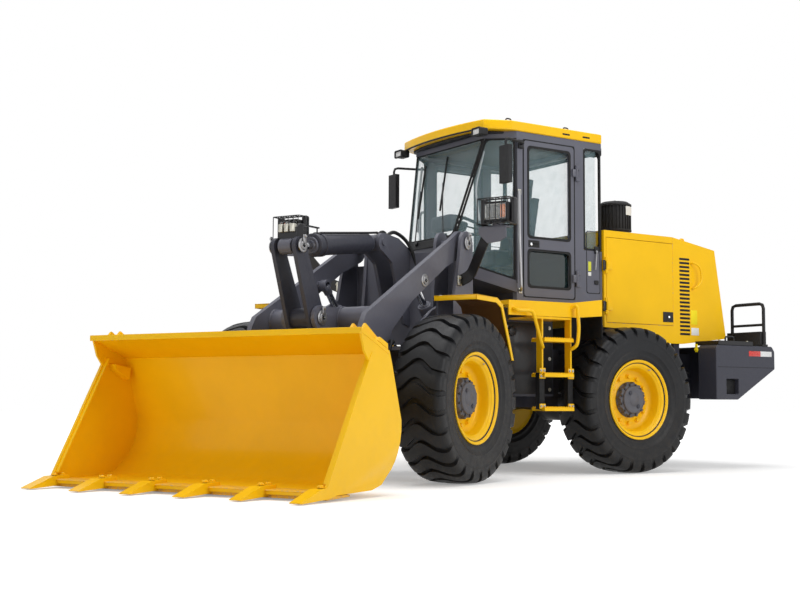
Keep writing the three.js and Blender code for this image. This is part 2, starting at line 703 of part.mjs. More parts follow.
function hoodWithHinges() {
  const parts = [hoodBody()];
  for (const side of [-1, 1]) {
    for (const z of sideHingeZ) {
      const [x, y] = sideDoorAxis;
      const at = (z0, z1) => [
        uprightBar([x, side * y], z0, z1, hingeKnuckle, 8),
        box(x, hoodFront - 5, side * (hoodSide + 2), side * (y + 5), z0, z1),
        box(hoodFront - 20, hoodFront - 5, side * (hoodSide - 5), side * (y + 5), z0, z1)];
      parts.push(...at(z - 80, z - 40 - FIT), ...at(z + 40 + FIT, z + 80));
    }
    const [x, , z] = tailAxis;
    const y = side * tailHingeY;
    const ear = [[x - 5, z], [x + 6, z + 50], [x + 40, z + 50], [x + 30, z + 8], [x + 9, z + 4]];
    for (const [y0, y1] of [[y - 60, y - 30 - FIT], [y + 30 + FIT, y + 60]]) {
      parts.push(crossBar([x, z], y0, y1, hingeKnuckle, 8));
      parts.push(plate(ear, y0, y1));
    }
  }
  return join(...parts);
}

const lidInner = hoodSide + 15;
const lidT = 40;
function batteryLid(side) {
  const plateZ = weightTop + FIT;
  const lid = box(weightFront - 35, -3110, side * lidInner, side * weightHalf, plateZ, plateZ + lidT);
  const gripY = side * (weightHalf - 70);
  const grip = bentTube([[-2790, gripY, plateZ + 30], [-2790, gripY, plateZ + 85],
    [-2910, gripY, plateZ + 85], [-2910, gripY, plateZ + 30]], 10, 20, 6);
  return join(lid, grip);
}

function tailLamp(side) {
  const x = -3300;
  const z = weightTop + FIT;
  const base = box(x - 50, x + 50, side * 617, side * 1050, z, z + 20);
  const lamp = box(x - 45, x + 45, side * 617, side * 1050, z + 15, z + 150);
  const hoop = bentTube([[x, side * 650, z + 100], [x, side * 650, 1655], [x, side * 1060, 1655],
    [x, side * 1060, z + 10]], 17, 50);
  const cross = bar([x, side * 650, 1440], [x, side * 1060, 1440], 14, 8);
  const foot = box(x - 40, x + 40, side * 1030, side * 1075, z, z + 20);
  return join(base, lamp, hoop, cross, foot);
}

function airCleaner() {
  const place = [-1940, 350];
  const foot = hoodTop + FIT;
  return turned([[0, 0], [115, 0], [115, 20], [150, 34], [155, 60], [155, 340], [130, 360], [0, 366]],
    [...place, foot], [...place, foot + 1]);
}

// ---------- cab ----------
const sideDrop = (x) => cabSide - paneSlope * (x - bPost[1]);
function cabPlan(x, inset) {
  const y = cabSide - inset;
  const noseY = sideDrop(x) - inset * 1.05;
  return [[cabBack + inset, -y], [bPost[1], -y], [x - inset, -noseY], [x - inset, noseY], [bPost[1], y],
    [cabBack + inset, y]];
}

const rearSill = 2080; // the rear window stands on the back wall at this height
const toeLine = [[-363, 1640], [160, 1865]];
const toeTop = [[-420, 1620], [-375, 1690], [160, 1905]];
function cabShell() {
  const nose = screenFoot[0];
  const sill = screenFoot[1] - FIT;
  const tub = cut(slab(cabPlan(nose, 0), cabFloor, sill), slab(cabPlan(nose, cabWall), cabFloor + 50, 2400));
  const belowToe = plate([...toeLine, [400, 1400], [-363, 1400]], -cabSide - 59, cabSide + 59);
  const toeSheet = plate([[-420, 1540], ...toeLine, ...[...toeTop].reverse()], -cabSide, cabSide);
  const toeBoard = toeSheet.intersect(slab(cabPlan(nose, 1), 1400, 2300));
  const underSill = [[bPost[1], 1745], [nose - 35, 1925], [nose - 35, 2300], [bPost[1], 2300]];
  const sillSheet = plate(underSill, -cabSide, cabSide);
  const paneCut = (side) => slab([[bPost[1], side * (cabSide - 141)], [bPost[1], side * (cabSide + 19)],
    [200, side * (cabSide + 19)], [200, side * (cabSide - 541)]], 1000, 2500).intersect(sillSheet);
  const doorCut = (side) => box(rearPost[1], bPost[0], side * (cabSide - 141), side * (cabSide + 59),
    cabFloor + 100, 2400);
  const lower = cut(join(cut(tub, belowToe), toeBoard), paneCut(1), paneCut(-1), doorCut(1), doorCut(-1));
  const openBack = cut(lower, box(cabBack - 10, rearPost[0], -cabSide - 59, cabSide + 59, rearSill, 2500));
  const parts = [openBack];
  for (const side of [-1, 1]) {
    parts.push(box(...bPost, side * (cabSide - 60), side * cabSide, 1560, cabTop - 20));
    parts.push(box(...rearPost, side * (cabSide - 60), side * cabSide, 1560, cabTop - 20));
  }
  const rimLow = screenHead[1] + FIT;
  const head = screenHead[0] + 12;
  parts.push(cut(slab(cabPlan(head, 0), rimLow, cabTop), slab(cabPlan(head, 70), rimLow - 10, cabTop + 10)));
  for (const side of [-1, 1]) {
    const [x, y] = cabDoorAxis;
    for (const z of cabHingeZ) {
      for (const [z0, z1] of [[z - 75, z - 35 - FIT], [z + 35 + FIT, z + 75]]) {
        parts.push(uprightBar([x, side * y], z0, z1, hingeKnuckle, 8));
        parts.push(box(x - 40, x, side * (cabSide - 5), side * (y + 5), z0, z1));
      }
    }
  }
  return join(...parts);
}

function cabRoof() {
  const low = cabTop + FIT;
  const nose = [];
  const steps = 8;
  for (let i = 0; i <= steps; i += 1) {
    const t = -1 + (2 * i) / steps;
    nose.push([-55 + 75 * (1 - t * t), (cabSide - 94) * t]); // bowed front edge
  }
  const eaves = cabSide + 11;
  const outline = [[-1430, -eaves + 62], [-1400, -eaves], [-300, -eaves], ...nose, [-300, eaves],
    [-1400, eaves], [-1430, eaves - 62]];
  return slab(outline, low, low + roofT);
}

function windscreen() {
  const [x0, z0] = screenFoot;
  const [x1, z1] = screenHead;
  const run = Math.hypot(x1 - x0, z1 - z0);
  const lean = Math.atan2(x0 - x1, z1 - z0);
  const y0 = sideDrop(x0) - 12;
  const y1 = sideDrop(x1) - 12;
  const pane = extruded([[-y0, 0], [y0, 0], [y1, run], [-y1, run]], glassT);
  pane.applyMatrix4(new THREE.Matrix4().makeBasis(
    new THREE.Vector3(0, 1, 0), new THREE.Vector3(0, 0, 1), new THREE.Vector3(1, 0, 0)));
  pane.translate(-glassT, 0, 0);
  pane.rotateY(-lean);
  pane.translate(x0, 0, z0 + 1);
  return solidOf(pane).intersect(box(-400, 200, -cabSide, cabSide, z0, z1));
}

function quarterPane(side) {
  const [x0, z0] = screenFoot;
  const [x1, z1] = screenHead;
  const stretch = Math.hypot(1, paneSlope);
  const rear = bPost[1] + 6;
  const outline = [[rear, 1750], [x0 - 41, 1930], [x0 - 41, z0], [x0 - 16, z0], [x1 - 16, z1],
    [rear, z1]];
  const pane = extruded(outline.map(([x, z]) => [(x - bPost[1]) * stretch, z]), glassT);
  pane.applyMatrix4(new THREE.Matrix4().makeBasis(
    new THREE.Vector3(1, 0, 0), new THREE.Vector3(0, 0, 1), new THREE.Vector3(0, -1, 0)));
  pane.rotateZ(Math.atan2(-paneSlope, 1));
  pane.translate(bPost[1], cabSide - 14, 0);
  pane.scale(1, side, 1);
  return solidOf(pane);
}

function rearPane() {
  const y = cabSide - 6;
  const x = cabBack + 8;
  const ring = (inset) => [[rearPost[0] - 2, -y + inset], [x + inset + 60, -y + inset],
    [x + inset, -y + inset + 60], [x + inset, y - inset - 60], [x + inset + 60, y - inset],
    [rearPost[0] - 2, y - inset]];
  const low = rearSill + FIT;
  const outer = slab(ring(0), low, screenHead[1]);
  const inner = slab(ring(glassT).map(([px, py]) => [px + (px > x + 100 ? 10 : 0), py]), low - 5,
    screenHead[1] + 5);
  return cut(outer, inner);
}

const cabDoorAxis = [-1075, cabSide + 14];
const cabHingeZ = [1800, 2800];
const doorFoot = 1605;
const doorHead = screenHead[1] - 6;
function cabDoor(side) {
  const x0 = rearPost[1] + doorGap;
  const x1 = bPost[0] - doorGap;
  const inside = cabSide - 38;
  const panel = box(x0, x1, side * inside, side * cabSide, doorFoot, doorHead);
  const upper = box(x0 + 52, x1 - 52, side * (inside - 5), side * (cabSide + 5), 2150, doorHead - 55);
  const lower = box(x0 + 52, x1 - 52, side * (inside - 5), side * (cabSide + 5), doorFoot + 90, 2040);
  const [x, y] = cabDoorAxis;
  const leaf = (z) => join(uprightBar([x, side * y], z - 35, z + 35, hingeKnuckle, 8),
    box(x, x0 + 30, side * (cabSide + 2), side * (y + 5), z - 35, z + 35),
    box(x0 + 2, x0 + 30, side * (cabSide - 5), side * (y + 5), z - 35, z + 35));
  return join(cut(panel, upper, lower), ...cabHingeZ.map(leaf));
}

function doorPane(side) {
  const x0 = rearPost[1] + doorGap + 25;
  const x1 = bPost[0] - doorGap - 25;
  const outside = cabSide - 38 - FIT;
  return box(x0, x1, side * (outside - glassT), side * outside, doorFoot + 60, doorHead - 30);
}

function seatBase() {
  return join(box(-930, -600, -200, 200, 1550 + FIT, 1700), box(-900, -630, -170, 170, 1690, 1940));
}

function seatCushion() {
  return box(-970, -480, -255, 255, 1940 + FIT, 2080);
}

function seatBack() {
  const back = plate([[-975, 2080 + FIT], [-905, 2080 + FIT], [-990, 2640], [-1070, 2630]], -245, 245);
  const head = plate([[-1060, 2600], [-985, 2600], [-1010, 2860], [-1080, 2850]], -130, 130);
  return join(back, head);
}

function steeringColumn() {
  const foot = new THREE.Vector3(-90, 0, 1790);
  const top = new THREE.Vector3(-300, 0, 2330);
  const lean = top.clone().sub(foot).normalize();
  const onLean = (distance) => top.clone().addScaledVector(lean, distance).toArray();
  const hubTop = 22;
  const hub = bar(onLean(-40), onLean(hubTop + 3), 45, 12);
  const column = bar(foot.toArray(), onLean(hubTop - 2), 35, 12);
  const ring = arc([steerWheelR, 0], 15, 0, 360, 6);
  const wheelRing = turned(ring, onLean(0), onLean(100), 20);
  const turn = new THREE.Quaternion().setFromUnitVectors(new THREE.Vector3(0, 1, 0), lean);
  const spokes = [0, 120, 240].map((angle) => {
    const across = new THREE.Vector3(1, 0, 0).applyAxisAngle(new THREE.Vector3(0, 1, 0),
      THREE.MathUtils.degToRad(-angle)).multiplyScalar(steerWheelR);
    return bar(onLean(0), across.applyQuaternion(turn).add(top).toArray(), 9, 6);
  });
  const underToe = plate([[-440, 1400], [-440, 1560 + FIT], ...toeTop.map(([x, z]) => [x, z + FIT]),
    [300, 1400]], -300, 300);
  return cut(join(column, hub, wheelRing, ...spokes), underToe);
}

function mirror(side) {
  const foot = cabSide + FIT;
  const pad = box(-425, -375, side * foot, side * (foot + 14), 2960, 3040);
  const tube = bentTube([[-400, side * (foot + 8), 3000], [-400, side * 810, 3000],
    [-105, side * 905, 3000], [-105, side * 905, 2900]], 12, 40, 6);
  const head = box(-128, -82, side * 840, side * 970, 2590, 2930);
  return join(pad, tube, head);
}

// ---------- decks ----------
function deck(side) {
  const inner = cabSide + 4;
  const corner = 190; // the front inner corner is cut off, clear of the tower on full lock
  const parts = [slab([[deckRear, side * inner], [deckRear, side * deckOuter], [deckFront, side * deckOuter],
    [deckFront, side * (inner + corner)], [deckFront - corner, side * inner]], deckTop - deckT, deckTop)];
  parts.push(plate([[deckFront, 1400], [deckFront, deckTop], [-700, deckTop + 5], [deckRear, 1579],
    [deckRear, 1430], [-760, 1405]], side * (deckOuter - 15), side * deckOuter));
  parts.push(box(-700, -250, side * (800 - 40), side * (deckOuter - 5), 1380 + FIT, 1400));
  parts.push(box(-480, -440, side * 770, side * 1090, 1390, deckTop - 10));
  for (const x of stepX) {
    parts.push(box(x - 8, x + 8, side * 1010, side * 1085, stepZ[1] - 10, 1420));
    parts.push(box(x - 5, x + 5, side * 1030, side * 1070, stepZ[0], stepZ[1]));
  }
  for (const z of stepZ) {
    parts.push(box(stepX[0] - 5, stepX[1] + 5, side * 940, side * 1120, z - 28, z));
  }
  const rail0 = [[-30, side * 1093, 1460], [-30, side * 1150, 1440], [-200, side * 1160, 1440],
    [-300, side * 1160, 1150], [-370, side * 1090, 1130]];
  parts.push(bentTube(rail0, 16, 35));
  return join(...parts);
}

// ---------- assembly ----------
const frontTilt = { barrelR: tiltBarrelR, rodR: tiltRodR, length: 960, inside: 150, eyeR: 70, eyeHalf: 64,
  pin: slimPinR, rodEyeR: 62, rodEyeHalf: 60 };
const liftSize = { barrelR: liftBarrelR, rodR, length: 960, inside: 140, eyeR: 58, eyeHalf: 40,
  pin: slimPinR, rodEyeR: 52, rodEyeHalf: 32 };
const steerSize = { barrelR: steerBarrelR, rodR: steerRodR, length: 520, inside: 110, eyeR: 44,
  eyeHalf: 30, pin: 26, rodEyeR: 38, rodEyeHalf: 22, upright: true };

function frontBodies() {
  const flat = ([x, z], y = 0) => [x, y, z];
  const links = body('boom_body', flat(armPin),
    piece('boom', boom(), charcoal),
    body('bell_crank_body', flat(crankPin), piece('bell_crank', crank(), charcoal)),
    body('bucket_body', flat(bucketPin), piece('bucket', bucket(), yellow),
      body('bucket_link_body', flat(linkPin), piece('bucket_link', pushLink(), charcoal))));
  const front = new THREE.Group();
  front.name = 'front_frame_body';
  front.add(piece('front_frame', frontFrame(), charcoal));
  front.add(piece('front_axle', axle(frontAxleX, frontAxleX - 380), black));
  front.add(links);
  front.add(cylinder('tilt_cylinder', flat(tiltBase), flat(crankTop), frontTilt));
  for (const [name, side] of [['left', 1], ['right', -1]]) {
    front.add(piece(`${name}_front_fender`, frontFender(side), yellow));
    front.add(piece(`${name}_headlamp`, headlamp(side), lampWhite));
    front.add(wheel(`${name}_front`, frontAxleX, side));
    front.add(cylinder(`${name}_lift_cylinder`, flat(liftBase, side * liftY), flat(liftEye, side * liftY),
      liftSize));
  }
  front.rotation.z = THREE.MathUtils.degToRad(PARKED_TURN);
  return front;
}

function steeringCylinder(name, side) {
  const turn = THREE.MathUtils.degToRad(PARKED_TURN);
  const [u, v] = [steerEye[0], side * steerEye[1]];
  const eye = [u * Math.cos(turn) - v * Math.sin(turn), u * Math.sin(turn) + v * Math.cos(turn), steerZ];
  const base = [steerBase[0], side * steerBase[1], steerZ];
  const lock = THREE.MathUtils.degToRad(FULL_LOCK);
  const reach = (angle) => {
    const x = steerEye[0] * Math.cos(angle) - steerEye[1] * Math.sin(angle);
    const y = steerEye[0] * Math.sin(angle) + steerEye[1] * Math.cos(angle);
    return Math.hypot(x - steerBase[0], y - steerBase[1]);
  };
  const travel = reach(side * turn) - reach(lock); // how far the rod can still go in
  return cylinder(`${name}_steering_cylinder`, base, eye, { ...steerSize, inside: 110 + travel });
}

function rearBodies() {
  const rear = new THREE.Group();
  rear.name = 'rear_frame_body';
  rear.add(piece('rear_frame', rearFrame(), charcoal));
  rear.add(piece('rear_axle', axle(rearAxleX, rearAxleX + 300), black));
  rear.add(piece('engine_block', engine(), steel));
  rear.add(piece('counterweight', counterweight(), charcoal));
  rear.add(piece('hood', hoodWithHinges(), yellow));
  rear.add(piece('air_precleaner', airCleaner(), black));
  rear.add(piece('cab_shell', cabShell(), charcoal));
  rear.add(piece('cab_roof', cabRoof(), yellow));
  rear.add(piece('windscreen', windscreen(), glass));
  rear.add(piece('rear_window', rearPane(), glass));
  rear.add(piece('seat_base', seatBase(), black));
  rear.add(piece('seat_cushion', seatCushion(), fabric));
  rear.add(piece('seat_back', seatBack(), fabric));
  rear.add(piece('steering_column', steeringColumn(), black));
  for (const [name, side] of [['left', 1], ['right', -1]]) {
    rear.add(piece(`${name}_quarter_window`, quarterPane(side), glass));
    rear.add(piece(`${name}_deck`, deck(side), yellow));
    rear.add(piece(`${name}_mirror`, mirror(side), black));
    rear.add(piece(`${name}_tail_lamp`, tailLamp(side), black));
    rear.add(body(`${name}_battery_lid_body`, [-2850, side * lidInner, weightTop + FIT + lidT],
      piece(`${name}_battery_lid`, batteryLid(side), black)));
    rear.add(body(`${name}_hood_door_body`, [sideDoorAxis[0], side * sideDoorAxis[1], 1750],
      piece(`${name}_hood_door`, sideDoor(side), yellow)));
    rear.add(body(`${name}_cab_door_body`, [cabDoorAxis[0], side * cabDoorAxis[1], 2300],
      piece(`${name}_cab_door`, cabDoor(side), charcoal),
      piece(`${name}_door_window`, doorPane(side), glass)));
    rear.add(wheel(`${name}_rear`, rearAxleX, side));
    rear.add(steeringCylinder(name, side));
  }
  rear.add(body('rear_grille_door_body', tailAxis, piece('rear_grille_door', tailDoor(), yellow)));
  return rear;
}

const loader = new THREE.Group();
loader.name = 'wheel_loader';
loader.add(rearBodies(), frontBodies());
loader.updateMatrixWorld(true);
const bounds = new THREE.Box3().setFromObject(loader, true);
const middle = bounds.getCenter(new THREE.Vector3());
loader.position.set(-middle.x, -middle.y, -bounds.min.z);

export default loader;
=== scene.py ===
# %% [markdown]
# A wheel loader is two frames joined by an upright pivot.  Everything behind the pivot keeps the
# machine's own axes; everything ahead of it is parked at an angle.  Both could be modelled in world
# axes, but a builder thinks along each frame, so every shape here is worked out along its own frame
# and then carried into the shared row frame by one function.

# %% Load the frame
import json
import math

import bmesh
import bpy
import numpy as np
from mathutils import Matrix


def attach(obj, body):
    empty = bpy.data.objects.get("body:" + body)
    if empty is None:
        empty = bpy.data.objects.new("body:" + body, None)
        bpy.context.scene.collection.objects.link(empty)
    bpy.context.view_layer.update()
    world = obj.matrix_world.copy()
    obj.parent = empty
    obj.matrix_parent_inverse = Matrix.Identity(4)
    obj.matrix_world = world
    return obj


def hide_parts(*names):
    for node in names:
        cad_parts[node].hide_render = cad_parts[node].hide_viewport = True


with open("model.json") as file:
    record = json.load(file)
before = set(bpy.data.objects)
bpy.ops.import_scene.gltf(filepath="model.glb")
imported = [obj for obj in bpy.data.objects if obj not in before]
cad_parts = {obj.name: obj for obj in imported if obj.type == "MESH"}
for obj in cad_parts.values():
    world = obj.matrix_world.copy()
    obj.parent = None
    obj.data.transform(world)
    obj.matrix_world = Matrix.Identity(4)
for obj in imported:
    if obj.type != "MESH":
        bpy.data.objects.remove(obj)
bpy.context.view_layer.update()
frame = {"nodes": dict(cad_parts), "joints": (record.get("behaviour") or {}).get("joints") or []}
joints = {joint["name"]: joint for joint in frame["joints"]}

PIVOT = np.array([*joints["articulation"]["pos_m"][:2], 0.0])
_spin = joints["left_front_wheel_spin"]["axis"]
STEER = math.atan2(-_spin[0], _spin[1])  # how far the front frame is turned to the left
print("pivot", PIVOT.round(3), "front frame turned", round(math.degrees(STEER), 2), "degrees")


# %% Carry points from a frame to the row frame, and back
def place(points, ahead=False):
    """Row-frame points: turned by the steering angle if they belong ahead of the pivot, then moved to it."""
    points = np.asarray(points, float)
    if ahead:
        c, s = math.cos(STEER), math.sin(STEER)
        points = points @ np.array([[c, s, 0], [-s, c, 0], [0, 0, 1]])
    return points + PIVOT


def unplace(points, ahead=False):
    """The same points seen from the frame that carries them."""
    points = np.asarray(points, float) - PIVOT
    if ahead:
        c, s = math.cos(STEER), math.sin(STEER)
        points = points @ np.array([[c, -s, 0], [s, c, 0], [0, 0, 1]])
    return points


AHEAD = {"front_frame", "boom", "bell_crank", "bucket", "bucket_link", "tilt_cylinder_barrel",
         "tilt_cylinder_rod", "left_lift_cylinder_barrel", "left_lift_cylinder_rod",
         "right_lift_cylinder_barrel", "right_lift_cylinder_rod", "left_front_wheel",
         "right_front_wheel"}


def pin(joint, ahead=True):
    """A joint's place, seen from the frame that carries it."""
    return unplace(joints[joint]["pos_m"], ahead)


print("the front frame's own x axis, in the row frame:", (place([1, 0, 0], True) - PIVOT).round(3))


# %% [markdown]
# Nearly every part of such a machine is one of five shapes: a turned part, a bent tube, a cut plate,
# a folded box with soft edges, or a ring of bolts.  Each is a surface over two parameters, so each
# is worked out as a whole numpy array.  A part is a pair of arrays, points and faces, and several
# parts are joined into one piece, which keeps the number of objects low.

# %% Surfaces over a grid
def sheet_of(points, wrap_u=False, wrap_v=False, caps=False):
    """Part from a (u, v, 3) grid: quads between neighbours, wrapped where asked, ends closed by caps."""
    nu, nv = points.shape[:2]
    index = np.arange(nu * nv).reshape(nu, nv)
    a = index if wrap_u else index[:-1]
    b = np.roll(index, -1, axis=0) if wrap_u else index[1:]
    if wrap_v:
        a2, b2 = np.roll(a, -1, axis=1), np.roll(b, -1, axis=1)
    else:
        a, a2, b, b2 = a[:, :-1], a[:, 1:], b[:, :-1], b[:, 1:]
    faces = np.stack([a, b, b2, a2], axis=-1).reshape(-1, 4).tolist()
    if caps:
        faces += [index[0].tolist(), index[-1][::-1].tolist()]
    return points.reshape(-1, 3), faces


def turned(profile, start, towards, sides=64):
    """Lathe: a profile of (radius, distance) turned about the line from start towards a second point."""
    profile = np.asarray(profile, float)
    start, towards = np.asarray(start, float), np.asarray(towards, float)
    axis = (towards - start) / np.linalg.norm(towards - start)
    helper = np.array([0, 0, 1.0]) if abs(axis[2]) < 0.9 else np.array([1.0, 0, 0])
    side = np.cross(axis, helper)
    side /= np.linalg.norm(side)
    up = np.cross(axis, side)
    turn = np.linspace(0, 2 * np.pi, sides, endpoint=False)
    rim = np.cos(turn)[:, None] * side + np.sin(turn)[:, None] * up
    points = start + profile[None, :, 1, None] * axis + profile[None, :, 0, None] * rim[:, None, :]
    return sheet_of(points, wrap_u=True)


def rounded(corners, bend, steps=6):
    """A path of straight runs whose corners are parabolas that start and end one bend from the corner."""
    corners = np.asarray(corners, float)
    t = np.linspace(0, 1, steps)[:, None]
    path = [corners[:1]]
    for before, corner, after in zip(corners[:-2], corners[1:-1], corners[2:]):
        a = corner + (before - corner) * min(bend / np.linalg.norm(before - corner), 0.5)
        b = corner + (after - corner) * min(bend / np.linalg.norm(after - corner), 0.5)
        path.append((1 - t) ** 2 * a + 2 * t * (1 - t) * corner + t ** 2 * b)
    path.append(corners[-1:])
    return np.concatenate(path)


def smooth_path(knots, steps=8):
    """A curve through the knots: each span is a cubic whose end slopes are half the step across it."""
    knots = np.asarray(knots, float)
    ends = np.concatenate([2 * knots[:1] - knots[1:2], knots, 2 * knots[-1:] - knots[-2:-1]])
    p0, p1, p2, p3 = ends[:-3, None], ends[1:-2, None], ends[2:-1, None], ends[3:, None]
    t = np.linspace(0, 1, steps, endpoint=False)[None, :, None]
    curve = p1 + 0.5 * t * (p2 - p0 + t * (2 * p0 - 5 * p1 + 4 * p2 - p3 + t * (3 * (p1 - p2) + p3 - p0)))
    return np.concatenate([curve.reshape(-1, 3), knots[-1:]])


def swept(path, section, helper=(0, 0, 1), caps=True):
    """A closed (k, 2) section carried along a path, its first axis square to both path and helper."""
    path, section = np.asarray(path, float), np.asarray(section, float)
    slope = np.gradient(path, axis=0)
    slope /= np.linalg.norm(slope, axis=1, keepdims=True)
    across = np.cross(slope, np.asarray(helper, float))
    weak = np.linalg.norm(across, axis=1) < 0.15
    across[weak] = np.cross(slope[weak], [1.0, 0.13, 0.07])
    across /= np.linalg.norm(across, axis=1, keepdims=True)
    for i in range(1, len(across)):  # keep the section from flipping or twisting along the path
        across[i] = across[i - 1] - slope[i] * (across[i - 1] @ slope[i])
        across[i] /= np.linalg.norm(across[i])
    up = np.cross(slope, across)
    points = (path[:, None] + section[None, :, 0, None] * across[:, None]
              + section[None, :, 1, None] * up[:, None])
    return sheet_of(points, wrap_v=True, caps=caps)


def circle(radius, sides=12):
    """Points of a circle, counter-clockwise."""
    turn = np.linspace(0, 2 * np.pi, sides, endpoint=False)
    return np.stack([radius * np.cos(turn), radius * np.sin(turn)], axis=1)


def tube(path, radius, sides=12):
    """A round bar or hose along a path."""
    return swept(path, circle(radius, sides))


def arc(centre, radius, start, end, steps=12):
    """Points (a, b) of an arc in degrees about a centre."""
    turn = np.radians(np.linspace(start, end, steps + 1))
    return np.stack([centre[0] + radius * np.cos(turn), centre[1] + radius * np.sin(turn)], axis=1)


# for each plane, the columns of x, y, z that its two axes and the axis across it fill
COLUMNS = {"xz": (0, 2, 1), "xy": (0, 1, 2), "yz": (1, 2, 0)}


def cut_plate(outline, low, high, plane="xz"):
    """An outline in one plane, made thick from low to high along the third axis."""
    outline = np.asarray(outline, float)
    columns = COLUMNS[plane]
    points = np.zeros((2, len(outline), 3))
    points[:, :, columns[0]] = outline[:, 0]
    points[:, :, columns[1]] = outline[:, 1]
    points[0, :, columns[2]], points[1, :, columns[2]] = low, high
    return sheet_of(points, wrap_v=True, caps=True)


def soft_box(low, high, edge=0.01, steps=3):
    """A box whose edges are rounded: each corner of a smaller box plus a ball of the edge radius."""
    low, high = np.minimum(low, high), np.maximum(low, high)
    centre, half = (low + high) / 2, (high - low) / 2
    edge = min(edge, *(half * 0.98))
    quarter = np.linspace(0, np.pi / 2, steps)
    turn = np.concatenate([quarter + k * np.pi / 2 for k in range(4)])
    sx, sy = np.repeat([1, -1, -1, 1], steps), np.repeat([1, 1, -1, -1], steps)
    tilt = np.concatenate([quarter - np.pi / 2, quarter])
    sz = np.repeat([-1, 1], steps)
    inner = half - edge
    x = sx[None] * inner[0] + edge * np.cos(tilt)[:, None] * np.cos(turn)[None]
    y = sy[None] * inner[1] + edge * np.cos(tilt)[:, None] * np.sin(turn)[None]
    z = np.broadcast_to((sz * inner[2] + edge * np.sin(tilt))[:, None], x.shape)
    return sheet_of(centre + np.stack([x, y, z], axis=-1), wrap_v=True, caps=True)


def bolts(centres, normal, across=0.03, height=0.014, washer=True):
    """Hexagon heads on washers: one lathe profile with six sides, repeated at every centre."""
    normal = np.asarray(normal, float) / np.linalg.norm(normal)
    radius = across / math.sqrt(3)
    parts = []
    for centre in np.asarray(centres, float).reshape(-1, 3):
        parts.append(turned([(0, 0), (radius, 0), (radius, height * 0.8), (radius * 0.82, height),
                             (0, height)],
                            centre, centre + normal, 6))
        if washer:
            wide = radius * 1.35
            parts.append(turned([(0, 0), (wide, 0), (wide, height * 0.2), (0, height * 0.2)],
                                centre, centre + normal, 12))
    return parts


def mirrored(parts):
    """The same parts on the other side of the machine, with their faces turned back out."""
    return [(points * [1, -1, 1], [face[::-1] for face in faces]) for points, faces in parts]


def both(parts):
    """Parts and their mirror images."""
    return parts + mirrored(parts)


print("a lathe of 4 profile points:", len(turned([(0, 0), (1, 0), (1, 1), (0, 1)], (0, 0, 0), (0, 0, 1))[0]))


# %% Turn parts into a finished piece
def piece(name, parts, material, body, smooth=40, bevel=0.0, replaces=(), weld=1e-5):
    """Joins parts, carries them to the row frame, closes their seams, points faces out, shades by angle."""
    counts = np.cumsum([0] + [len(points) for points, _ in parts])
    points = place(np.concatenate([points for points, _ in parts]), body in AHEAD)
    faces = [[i + offset for i in face] for (_, some), offset in zip(parts, counts) for face in some]
    mesh = bpy.data.meshes.new(name)
    mesh.from_pydata(points.tolist(), [], faces)
    thing = bpy.data.objects.new(name, mesh)
    bpy.context.scene.collection.objects.link(thing)
    return finish(thing, material, body, smooth, bevel, replaces, weld)


def finish(thing, material, body, smooth=40, bevel=0.0, replaces=(), weld=1e-5, planar=False):
    """Merges doubles, recalculates normals, marks sharp edges, adds a bevel and puts it on its body."""
    mesh = thing.data
    work = bmesh.new()
    work.from_mesh(mesh)
    bmesh.ops.remove_doubles(work, verts=work.verts, dist=weld)
    if planar:
        bmesh.ops.dissolve_limit(work, angle_limit=math.radians(0.6), verts=work.verts, edges=work.edges)
    bmesh.ops.recalc_face_normals(work, faces=work.faces)
    work.to_mesh(mesh)
    work.free()
    mesh.polygons.foreach_set("use_smooth", np.ones(len(mesh.polygons), bool))
    mesh.set_sharp_from_angle(angle=math.radians(smooth))
    mesh.materials.clear()
    mesh.materials.append(material)
    if bevel:
        edge = thing.modifiers.new("edge", "BEVEL")
        edge.width, edge.segments, edge.limit_method = bevel, 2, "ANGLE"
        edge.angle_limit = math.radians(38)
        edge.harden_normals = True
    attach(thing, body)
    if replaces:
        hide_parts(*replaces)
    return thing


def skin(node, material, body, bevel=0.004, smooth=38):
    """A CAD node with folded edges: its triangles merged into whole faces, then bevelled."""
    mesh = frame["nodes"][node].data.copy()
    thing = bpy.data.objects.new(f"{node}_skin", mesh)
    bpy.context.scene.collection.objects.link(thing)
    return finish(thing, material, body, smooth, bevel, (node,), planar=True)


# %% [markdown]
# The paint is a two-pack enamel over steel plate: smooth, with a faint orange-peel ripple, slightly
# duller where it is low down and dusty.  A painter could draw all of that in a texture, but the
# machine is seen from every side, so each finish is a small node tree that reads Object coordinates:
# large noise shifts the tone, fine noise breaks up the gloss, and a height ramp lays dust near the
# ground.

# %% Colours and the shared node tree
def tone(red, green, blue):
    """Scene-linear colour from the 0-255 values a paint chart gives."""
    chart = np.array([red, green, blue]) / 255
    linear = np.where(chart <= 0.04045, chart / 12.92, ((chart + 0.055) / 1.055) ** 2.4)
    return (*linear.tolist(), 1.0)


DUST = tone(150, 138, 118)


def add(tree, kind, **values):
    """A node with its properties and inputs set by name."""
    node = tree.nodes.new(kind)
    for key, value in values.items():
        if key in node.inputs:
            node.inputs[key].default_value = value
        else:
            setattr(node, key, value)
    return node


def noise(tree, coords, scale, detail=3.0, rough=0.55):
    """Noise read at Object coordinates."""
    node = add(tree, "ShaderNodeTexNoise", Scale=scale, Detail=detail, Roughness=rough)
    tree.links.new(coords, node.inputs["Vector"])
    return node.outputs["Fac"]


def ramp(tree, value, low, high, start, end):
    """Maps a value from low..high to start..end, held at both ends."""
    node = add(tree, "ShaderNodeMapRange")
    node.inputs["From Min"].default_value, node.inputs["From Max"].default_value = low, high
    node.inputs["To Min"].default_value, node.inputs["To Max"].default_value = start, end
    tree.links.new(value, node.inputs["Value"])
    return node.outputs["Result"]


